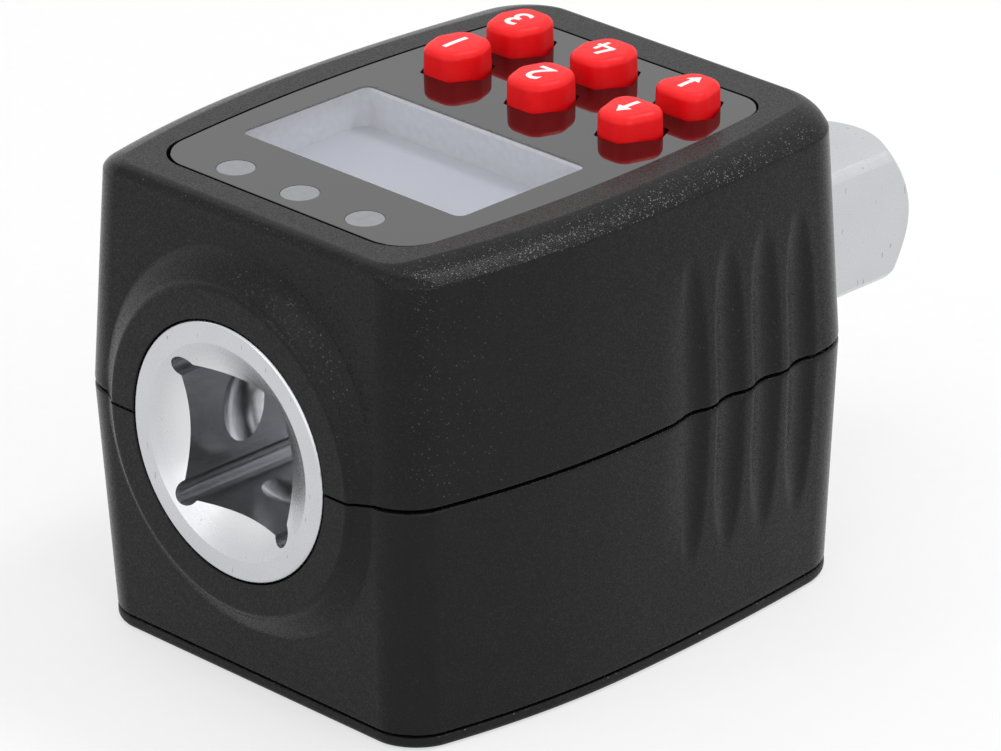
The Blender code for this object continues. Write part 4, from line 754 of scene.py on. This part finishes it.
def square_block(half, low, high):
    """A block about the shaft's axis, from low to high along it."""
    bm = bmesh.new()
    for vert in bmesh.ops.create_cube(bm, size=2.0)["verts"]:
        x = math.copysign(half, vert.co.x)
        z = AXIS_Z + math.copysign(half, vert.co.z)
        vert.co = (x, high if vert.co.y > 0 else low, z)
    return object_from("block", bm)


def make_shaft(look):
    """The shaft with its head, waist, flats, male square, socket, groove and ball hole."""
    head_end = SHAFT_FRONT_Y + 31.0 * MM
    shoulder_end = DRIVE_END_Y - 26.0 * MM
    profile = []
    edge = 0.5 * MM
    for k in range(7):
        turn = math.pi / 2 * k / 6
        radius = HEAD_RADIUS - edge * (1 - math.sin(turn))
        profile.append((radius, SHAFT_FRONT_Y + edge * (1 - math.cos(turn))))
    profile += [
        (HEAD_RADIUS, head_end),
        (12.5 * MM, head_end),
        (11.0 * MM, head_end + 1.5 * MM),
        (11.0 * MM, 15.5 * MM),
        (12.5 * MM, 17.0 * MM),
        (JOURNAL_RADIUS, 17.0 * MM),
        (JOURNAL_RADIUS, shoulder_end - 1.0 * MM),
    ]
    for k in range(1, 7):
        turn = math.pi / 2 * k / 6
        radius = JOURNAL_RADIUS - MM * (1 - math.cos(turn))
        profile.append((radius, shoulder_end - MM * (1 - math.sin(turn))))
    shaft = turned("steel_shaft", profile, steps=180)
    flange = turned("flange", [(19.5 * MM, 20.2 * MM), (19.5 * MM, 25.0 * MM)], steps=120)
    combine(flange, "INTERSECT", square_block(16.0 * MM, 2.0 * MM, 42.0 * MM))
    cone = 12.65 - 8.9
    tip_profile = [
        (12.65 * MM, shoulder_end - 2.0 * MM),
        (12.65 * MM, DRIVE_END_Y - cone * MM - 0.3 * MM),
        (12.45 * MM, DRIVE_END_Y - cone * MM + 0.2 * MM),
        (9.2 * MM, DRIVE_END_Y - 0.25 * MM),
        (8.8 * MM, DRIVE_END_Y),
    ]
    tip = turned("bar", tip_profile, steps=180)
    half = DRIVE_SQUARE / 2
    combine(tip, "INTERSECT", square_block(half, shoulder_end - 4.3 * MM, DRIVE_END_Y + 4.3 * MM))
    combine(shaft, "UNION", flange, tip)
    outline = socket_outline()
    ends = (SHAFT_FRONT_Y - 2.0 * MM, SHAFT_FRONT_Y + 26.0 * MM)
    socket = loft("socket", [[(x, y, AXIS_Z + z) for x, z in outline] for y in ends])
    mouth_profile = [
        (MOUTH_RADIUS + MOUTH_SLOPE * MM, SHAFT_FRONT_Y - MM),
        (MOUTH_RADIUS - MOUTH_SLOPE * MOUTH_DEPTH, SHAFT_FRONT_Y + MOUTH_DEPTH),
    ]
    mouth = turned("mouth", mouth_profile, steps=180)
    groove_profile = []
    for k in range(-12, 13):
        along = GROOVE_HALF * k / 12
        radius = GROOVE_REACH - GROOVE_ROUND + math.sqrt(GROOVE_ROUND**2 - along**2)
        groove_profile.append((radius, SHAFT_FRONT_Y + GROOVE_DEPTH + along))
    groove = turned("groove", groove_profile, steps=180)
    bore_profile = [(3.3 * MM, -half - 2.0 * MM), (3.3 * MM, 2.6 * MM)]
    bore = turned("bore", bore_profile, "X", (0.0, DETENT_Y, AXIS_Z), 64)
    combine(shaft, "DIFFERENCE", socket, mouth, groove, bore)
    return piece(smooth(shaft, 22), "housing", "shaft_steel", look, "torque_shaft")


def make_ball(look):
    bm = bmesh.new()
    bmesh.ops.create_uvsphere(bm, u_segments=48, v_segments=32, radius=BALL_RADIUS)
    middle_x = BALL_RADIUS - 1.5 * MM - DRIVE_SQUARE / 2
    bmesh.ops.translate(bm, verts=bm.verts, vec=(middle_x, DETENT_Y, AXIS_Z))
    ball = object_from("ball_fine", bm)
    return piece(smooth(ball, 60), "ball", "ball_steel", look, "detent_ball")


def make_spring(look):
    """The ball's coil, with a flat turn at each end."""
    low, high = SPRING_ENDS
    rings = []
    steps = SPRING_TURNS * 40
    for k in range(steps + 1):
        turns = SPRING_TURNS * k / steps
        share = min(1.0, max(0.0, (turns - 0.75) / (SPRING_TURNS - 1.5)))
        share = 0.85 * share + 0.15 * share * share * (3.0 - 2.0 * share)
        x = low + (high - low) * share
        away = Vector((0.0, math.cos(math.tau * turns), math.sin(math.tau * turns)))
        ring = []
        for i in range(12):
            angle = math.tau * i / 12
            reach = SPRING_COIL + SPRING_WIRE * math.cos(angle)
            ring.append(Vector((x + SPRING_WIRE * math.sin(angle), DETENT_Y, AXIS_Z)) + reach * away)
        rings.append(ring)
    coil = smooth(loft("spring_fine", rings), 50)
    coil.data.materials.append(look)
    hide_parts("detent_spring")
    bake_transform(coil)


# Materials


class Look:
    """A node material that is built one node at a time."""

    def __init__(self, name, colour, roughness, metallic=0.0, **settings):
        self.material = bpy.data.materials.new(name)
        self.material.use_nodes = True
        self.tree = self.material.node_tree
        self.shader = self.tree.nodes["Principled BSDF"]
        self.set("Base Color", (*colour, 1.0))
        self.set("Roughness", roughness)
        self.set("Metallic", metallic)
        for key, value in settings.items():
            self.set(key.replace("_", " "), value)
        self.place = self.node("ShaderNodeTexCoord").outputs["Object"]
        self.height = None

    def set(self, socket, value):
        self.shader.inputs[socket].default_value = value

    def node(self, kind, **values):
        made = self.tree.nodes.new(kind)
        for key, value in values.items():
            setattr(made, key, value)
        return made

    def join(self, source, target):
        self.tree.links.new(source, target)

    def stretched(self, scale, rotation=(0.0, 0.0, 0.0)):
        mapping = self.node("ShaderNodeMapping")
        mapping.inputs["Scale"].default_value = scale
        mapping.inputs["Rotation"].default_value = rotation
        self.join(self.place, mapping.inputs["Vector"])
        return mapping.outputs["Vector"]

    def noise(self, scale, detail=3.0, vector=None):
        made = self.node("ShaderNodeTexNoise")
        made.inputs["Scale"].default_value = scale
        made.inputs["Detail"].default_value = detail
        self.join(vector or self.place, made.inputs["Vector"])
        return made.outputs["Fac"]

    def spread(self, value, low, high, to_low=0.0, to_high=1.0):
        made = self.node("ShaderNodeMapRange")
        numbers = {"From Min": low, "From Max": high, "To Min": to_low, "To Max": to_high}
        for socket, number in numbers.items():
            made.inputs[socket].default_value = number
        self.join(value, made.inputs["Value"])
        return made.outputs["Result"]

    def math(self, operation, a, b=None):
        made = self.node("ShaderNodeMath", operation=operation)
        for slot, value in zip(made.inputs, (a, b)):
            if value is None:
                continue
            if isinstance(value, (int, float)):
                slot.default_value = value
            else:
                self.join(value, slot)
        return made.outputs[0]

    def blend(self, share, first, second):
        made = self.node("ShaderNodeMix", data_type="RGBA")
        self.join(share, made.inputs["Factor"])
        for slot, colour in ((made.inputs[6], first), (made.inputs[7], second)):
            if isinstance(colour, tuple):
                slot.default_value = (*colour, 1.0)
            else:
                self.join(colour, slot)
        return made.outputs[2]

    def colour(self, source):
        self.join(source, self.shader.inputs["Base Color"])

    def roughness(self, source):
        self.join(source, self.shader.inputs["Roughness"])

    def bump(self, source, strength, distance):
        made = self.node("ShaderNodeBump")
        made.inputs["Strength"].default_value = strength
        made.inputs["Distance"].default_value = distance
        self.join(source, made.inputs["Height"])
        if self.height:
            self.join(self.height, made.inputs["Normal"])
        self.height = made.outputs["Normal"]
        self.join(self.height, self.shader.inputs["Normal"])

    def glints(self, scale, weight, tilt, roughness):
        """Each tiny facet of the texture leans its own way, and a few of them catch a lamp."""
        facets = self.node("ShaderNodeTexVoronoi")
        facets.inputs["Scale"].default_value = scale
        self.join(self.place, facets.inputs["Vector"])
        lean = self.node("ShaderNodeVectorMath", operation="MULTIPLY_ADD")
        lean.inputs[1].default_value = (tilt, tilt, tilt)
        lean.inputs[2].default_value = (-0.5 * tilt, -0.5 * tilt, -0.5 * tilt)
        self.join(facets.outputs["Color"], lean.inputs[0])
        total = self.node("ShaderNodeVectorMath", operation="ADD")
        self.join(lean.outputs["Vector"], total.inputs[0])
        self.join(self.node("ShaderNodeNewGeometry").outputs["Normal"], total.inputs[1])
        unit = self.node("ShaderNodeVectorMath", operation="NORMALIZE")
        self.join(total.outputs["Vector"], unit.inputs[0])
        self.set("Coat Weight", weight)
        self.set("Coat Roughness", roughness)
        self.join(unit.outputs["Vector"], self.shader.inputs["Coat Normal"])


def moulded(name, colour, speck, roughness=0.24):
    """Moulded plastic with a fine spark-eroded texture, a few light specks and glints."""
    grain = 4400.0
    look = Look(name, colour, roughness, Specular_IOR_Level=0.06)
    grain_noise = look.noise(grain, 2.0)
    broad = look.noise(260.0, 3.0)
    specks = look.spread(look.noise(grain * 1.35, 1.0), 0.66, 0.78)
    tone = look.blend(look.spread(broad, 0.3, 0.7), colour, tuple(c * 1.25 for c in colour))
    look.colour(look.blend(specks, tone, speck))
    dull = look.noise(grain * 0.9, 1.0)
    look.roughness(look.spread(dull, 0.35, 0.65, roughness - 0.04, roughness + 0.06))
    look.bump(grain_noise, 1.0, 0.00004)
    look.bump(look.noise(90.0, 2.0), 0.03, 0.0006)
    look.glints(6000.0, 0.2, 0.52, 0.15)
    return look.material


def gloss_print(name, colour):
    """Dark print that is seen through a glossy plate, with faint smears."""
    look = Look(name, colour, 0.035, Specular_IOR_Level=0.93)
    fine = look.noise(3000.0, 2.0)
    look.colour(look.blend(look.spread(fine, 0.35, 0.65), colour, tuple(c * 1.06 for c in colour)))
    smears = look.noise(70.0, 4.0)
    look.roughness(look.spread(smears, 0.35, 0.75, 0.02, 0.07))
    look.bump(look.noise(35.0, 2.0), 0.02, 0.0005)
    return look.material


def clear_glass(name):
    """A thin clear pane: it lets light straight through and keeps its gloss."""
    look = Look(name, (0.9, 0.92, 0.95), 0.03)
    tree = look.tree
    clear = look.node("ShaderNodeBsdfTransparent")
    clear.inputs["Color"].default_value = (0.93, 0.94, 0.96, 1.0)
    gloss = look.node("ShaderNodeBsdfGlossy")
    look.join(look.spread(look.noise(70.0, 2.0), 0.1, 0.9, 0.018, 0.03), gloss.inputs["Roughness"])
    fresnel = look.node("ShaderNodeFresnel")
    fresnel.inputs["IOR"].default_value = 1.45
    inside = look.node("ShaderNodeNewGeometry").outputs["Backfacing"]
    share = look.math("MULTIPLY", fresnel.outputs[0], look.math("SUBTRACT", 1.0, inside))
    mix = look.node("ShaderNodeMixShader")
    look.join(share, mix.inputs[0])
    look.join(clear.outputs[0], mix.inputs[1])
    look.join(gloss.outputs[0], mix.inputs[2])
    look.join(mix.outputs[0], tree.nodes["Material Output"].inputs["Surface"])
    tree.nodes.remove(look.shader)
    return look.material


def lighter(colour, factor):
    return tuple(min(1.0, c * factor) for c in colour)


def satin(name, colour, roughness):
    look = Look(name, colour, roughness)
    fine = look.noise(900.0, 3.0)
    look.colour(look.blend(look.spread(fine, 0.3, 0.7), colour, lighter(colour, 1.12)))
    look.roughness(look.spread(look.noise(315.0, 3.0), 0.3, 0.7, roughness - 0.05, roughness + 0.07))
    look.bump(fine, 0.12, 0.00003)
    return look.material


def silicone(name, colour):
    """Red rubber that lets a little light in."""
    look = Look(name, colour, 0.46, Specular_IOR_Level=0.34)
    look.set("Subsurface Weight", 0.25)
    look.set("Subsurface Radius", (0.0012, 0.0002, 0.0001))
    look.set("Subsurface Scale", 1.0)
    broad = look.noise(420.0, 3.0)
    look.colour(look.blend(look.spread(broad, 0.3, 0.7), colour, lighter(colour, 1.1)))
    look.roughness(look.spread(look.noise(1800.0, 2.0), 0.3, 0.7, 0.4, 0.52))
    look.bump(look.noise(4200.0, 2.0), 0.1, 0.00003)
    return look.material


def turned_steel(name):
    """Plated steel with turning rings, soft marks along the axis and tiny nicks, and painted light in the
    socket: its base colour is made brighter there to stand in for light bouncing inside it.
    """
    look = Look(name, (0.51, 0.515, 0.53), 0.27, 1.0)
    apart = look.node("ShaderNodeSeparateXYZ")
    look.join(look.place, apart.inputs[0])
    x = apart.outputs["X"]
    y = apart.outputs["Y"]
    z = look.math("SUBTRACT", apart.outputs["Z"], AXIS_Z)
    radius = look.math("SQRT", look.math("ADD", look.math("MULTIPLY", x, x), look.math("MULTIPLY", z, z)))
    packed = look.node("ShaderNodeCombineXYZ")
    look.join(look.math("MULTIPLY", radius, 30.0), packed.inputs[0])
    look.join(look.math("MULTIPLY", y, 6.0), packed.inputs[1])
    look.join(look.math("MULTIPLY", look.math("ARCTAN2", z, x), 0.004), packed.inputs[2])
    rings = look.noise(160.0, 3.0, packed.outputs[0])
    lengthwise = look.noise(160.0, 3.0, look.stretched((20.0, 1.2, 20.0)))
    cloud = look.noise(120.0, 3.0)
    fine = look.noise(2500.0, 2.0)
    marks = look.math("ADD", look.math("MULTIPLY", rings, 0.5), look.math("MULTIPLY", lengthwise, 0.5))
    outside = look.blend(look.spread(cloud, 0.3, 0.7), (0.565, 0.57, 0.592), (0.595, 0.60, 0.622))
    # Mask of the socket's bore, where light is painted: the base colour is lighter there to stand in for light
    # bouncing inside the socket. The roughness is also lower there, and the turning rings are left off.
    painted_socket_light = look.math("MULTIPLY", look.spread(y, -0.0424, -0.0408), look.spread(y, -0.016, -0.018))
    nicks = look.noise(2400.0, 0.0, look.stretched((1.0, 1.0, 0.22), (0.0, 0.7, 0.0)))
    worn = look.spread(nicks, 0.8, 0.84)
    outside = look.blend(worn, outside, (0.36, 0.36, 0.37))
    # Painted light: the socket's base colour is lighter than the outside's, for the light that bounces inside
    # it.
    look.colour(look.blend(painted_socket_light, outside, (0.70, 0.705, 0.72)))
    plated = look.spread(marks, 0.35, 0.65, 0.25, 0.32)
    look.roughness(look.math("SUBTRACT", plated, look.math("MULTIPLY", painted_socket_light, 0.06)))
    look.bump(look.math("MULTIPLY", rings, look.math("SUBTRACT", 1.0, painted_socket_light)), 0.05, 0.00001)
    look.bump(fine, 0.04, 0.00001)
    return look.material


def wire_steel(name, colour=(0.55, 0.56, 0.58), roughness=0.3):
    look = Look(name, colour, roughness, 1.0)
    fine = look.noise(1500.0, 3.0)
    look.roughness(look.spread(fine, 0.3, 0.7, roughness - 0.06, roughness + 0.1))
    look.bump(fine, 0.1, 0.00002)
    return look.material


def laminate(name):
    """Green board with faint tracks."""
    look = Look(name, (0.02, 0.16, 0.06), 0.4)
    tracks = look.spread(look.noise(500.0, 0.0, look.stretched((1.0, 0.25, 1.0))), 0.52, 0.55)
    look.colour(look.blend(tracks, (0.015, 0.12, 0.045), (0.03, 0.22, 0.09)))
    look.bump(tracks, 0.2, 0.00003)
    return look.material


def display_face(name):
    """A reflective display without voltage: a bluish grey film."""
    look = Look(name, (0.42, 0.45, 0.50), 0.3)
    cells = look.noise(6000.0, 1.0)
    drift = look.noise(45.0, 2.0)
    tone = look.blend(look.spread(drift, 0.3, 0.7), (0.545, 0.55, 0.58), (0.57, 0.575, 0.605))
    look.colour(look.blend(look.spread(cells, 0.3, 0.9), tone, (0.52, 0.525, 0.555)))
    look.roughness(look.spread(drift, 0.1, 0.9, 0.28, 0.36))
    return look.material


def light(name, place, size, power):
    """A square white lamp that points at the object."""
    data = bpy.data.lights.new(name, "AREA")
    data.shape = "RECTANGLE"
    data.size = size
    data.size_y = size
    data.energy = power
    obj = link(bpy.data.objects.new(name, data))
    obj.location = place
    obj.rotation_euler = (LAMP_AIM - Vector(place)).to_track_quat("-Z", "Y").to_euler()


def white_for_rays(tree, plain, white, share=1.0):
    """Mixes a plain shader with a share of a white one that only camera, mirror and clear rays see."""
    path = tree.nodes.new("ShaderNodeLightPath")
    seen = path.outputs["Is Camera Ray"]
    for ray in ("Is Glossy Ray", "Is Transmission Ray"):
        either = tree.nodes.new("ShaderNodeMath")
        either.operation = "MAXIMUM"
        tree.links.new(seen, either.inputs[0])
        tree.links.new(path.outputs[ray], either.inputs[1])
        seen = either.outputs[0]
    part = tree.nodes.new("ShaderNodeMath")
    part.operation = "MULTIPLY"
    part.inputs[1].default_value = share
    tree.links.new(seen, part.inputs[0])
    mix = tree.nodes.new("ShaderNodeMixShader")
    tree.links.new(part.outputs[0], mix.inputs[0])
    tree.links.new(plain, mix.inputs[1])
    tree.links.new(white, mix.inputs[2])
    return mix.outputs[0]


def backdrop():
    """A white world and a pale floor that keeps the object's shadow."""
    world = bpy.data.worlds.new("world")
    world.use_nodes = True
    tree = world.node_tree
    plain = tree.nodes["Background"]
    white = tree.nodes.new("ShaderNodeBackground")
    for node, strength in ((plain, 0.55), (white, 1.0)):
        node.inputs["Color"].default_value = (1.0, 1.0, 1.0, 1.0)
        node.inputs["Strength"].default_value = strength
    mixed = white_for_rays(tree, plain.outputs[0], white.outputs[0])
    tree.links.new(mixed, tree.nodes["World Output"].inputs["Surface"])
    bpy.context.scene.world = world

    bm = bmesh.new()
    bmesh.ops.create_grid(bm, x_segments=1, y_segments=1, size=3.0)
    bmesh.ops.translate(bm, verts=bm.verts, vec=(0.0, 0.0, -0.03 * MM))
    floor = object_from("floor", bm)
    look = Look("floor_paper", (0.9, 0.9, 0.9), 0.9)
    look.set("Specular IOR Level", 0.0)
    fibres = look.noise(400.0, 3.0)
    look.colour(look.blend(look.spread(fibres, 0.3, 0.7), (0.89, 0.89, 0.89), (0.91, 0.91, 0.91)))
    glow = look.node("ShaderNodeEmission")
    mixed = white_for_rays(look.tree, look.shader.outputs[0], glow.outputs[0], 0.6)
    look.join(mixed, look.tree.nodes["Material Output"].inputs["Surface"])
    floor.data.materials.append(look.material)


def lamps():
    """Two small lamps that the texture glints in, and five soft ones."""
    light("top_light", (0.27, 0.43, 1.0), 0.24, 3.4)
    light("spot_front", (-0.27, -0.95, 0.47), 0.14, 0.65)
    light("over_light", (-0.1, -0.1, 1.15), 0.8, 2.2)
    light("left_light", (-0.9, 0.0, 1.0), 1.1, 1.8)
    light("low_light", (1.25, -0.35, 0.3), 0.3, 1.8)
    light("front_light", (0.3, -1.3, 0.5), 1.4, 4.0)
    light("side_light", (1.2, -0.1, 0.7), 1.3, 3.0)


def dress_inner_nodes(looks):
    """Gives the nodes their materials. It matters for those that no piece replaces."""
    for name, obj in NODES.items():
        if name.startswith("key_mat"):
            look = looks["rubber"]
        elif "screw" in name or name.startswith("contact") or name in ("detent_spring", "switch_film"):
            look = looks["wire"]
        elif name == "circuit_board":
            look = looks["board"]
        elif name.startswith("strain"):
            look = looks["foil"]
        elif name.startswith("battery"):
            look = looks["cell"]
        elif name in ("gauge_leads", "lead_red"):
            look = looks["red"]
        else:
            look = looks["inner"]
        obj.data.materials.clear()
        obj.data.materials.append(look)


camera()
backdrop()
lamps()
housing_look = moulded("housing_plastic", (0.0055, 0.0055, 0.006), (0.03, 0.03, 0.032))
cover_look = moulded("cover_plastic", (0.007, 0.007, 0.0073), (0.025, 0.025, 0.026), 0.5)
steel = turned_steel("shaft_steel")
rubber = silicone("key_silicone", (0.82, 0.001, 0.004))
wire = wire_steel("plated_steel")
dress_inner_nodes(
    {
        "rubber": rubber,
        "wire": wire,
        "board": laminate("board_laminate"),
        "foil": wire_steel("gauge_foil", (0.72, 0.45, 0.2), 0.35),
        "cell": satin("cell_sleeve", (0.05, 0.05, 0.06), 0.3),
        "red": satin("red_sleeve", (0.5, 0.02, 0.02), 0.5),
        "inner": satin("inner_plastic", (0.03, 0.03, 0.03), 0.6),
    }
)
make_upper_housing(housing_look)
make_lower_housing(housing_look)
make_cover(cover_look)
make_cover_screws(wire)
make_panel(
    gloss_print("panel_print", (0.002, 0.002, 0.0022)),
    clear_glass("window_glass"),
    satin("well_plastic", (0.64, 0.63, 0.655), 0.6),
    display_face("display_face"),
    satin("lamp_lens", (0.21, 0.215, 0.235), 0.12),
)
white_print = satin("white_print", (0.86, 0.86, 0.87), 0.5)
make_keys(rubber, white_print)
make_numbers(white_print)
make_shaft(steel)
make_ball(wire_steel("ball_steel", (0.7, 0.7, 0.72), 0.1))
make_spring(wire)
bpy.context.scene.view_settings.view_transform = "Standard"
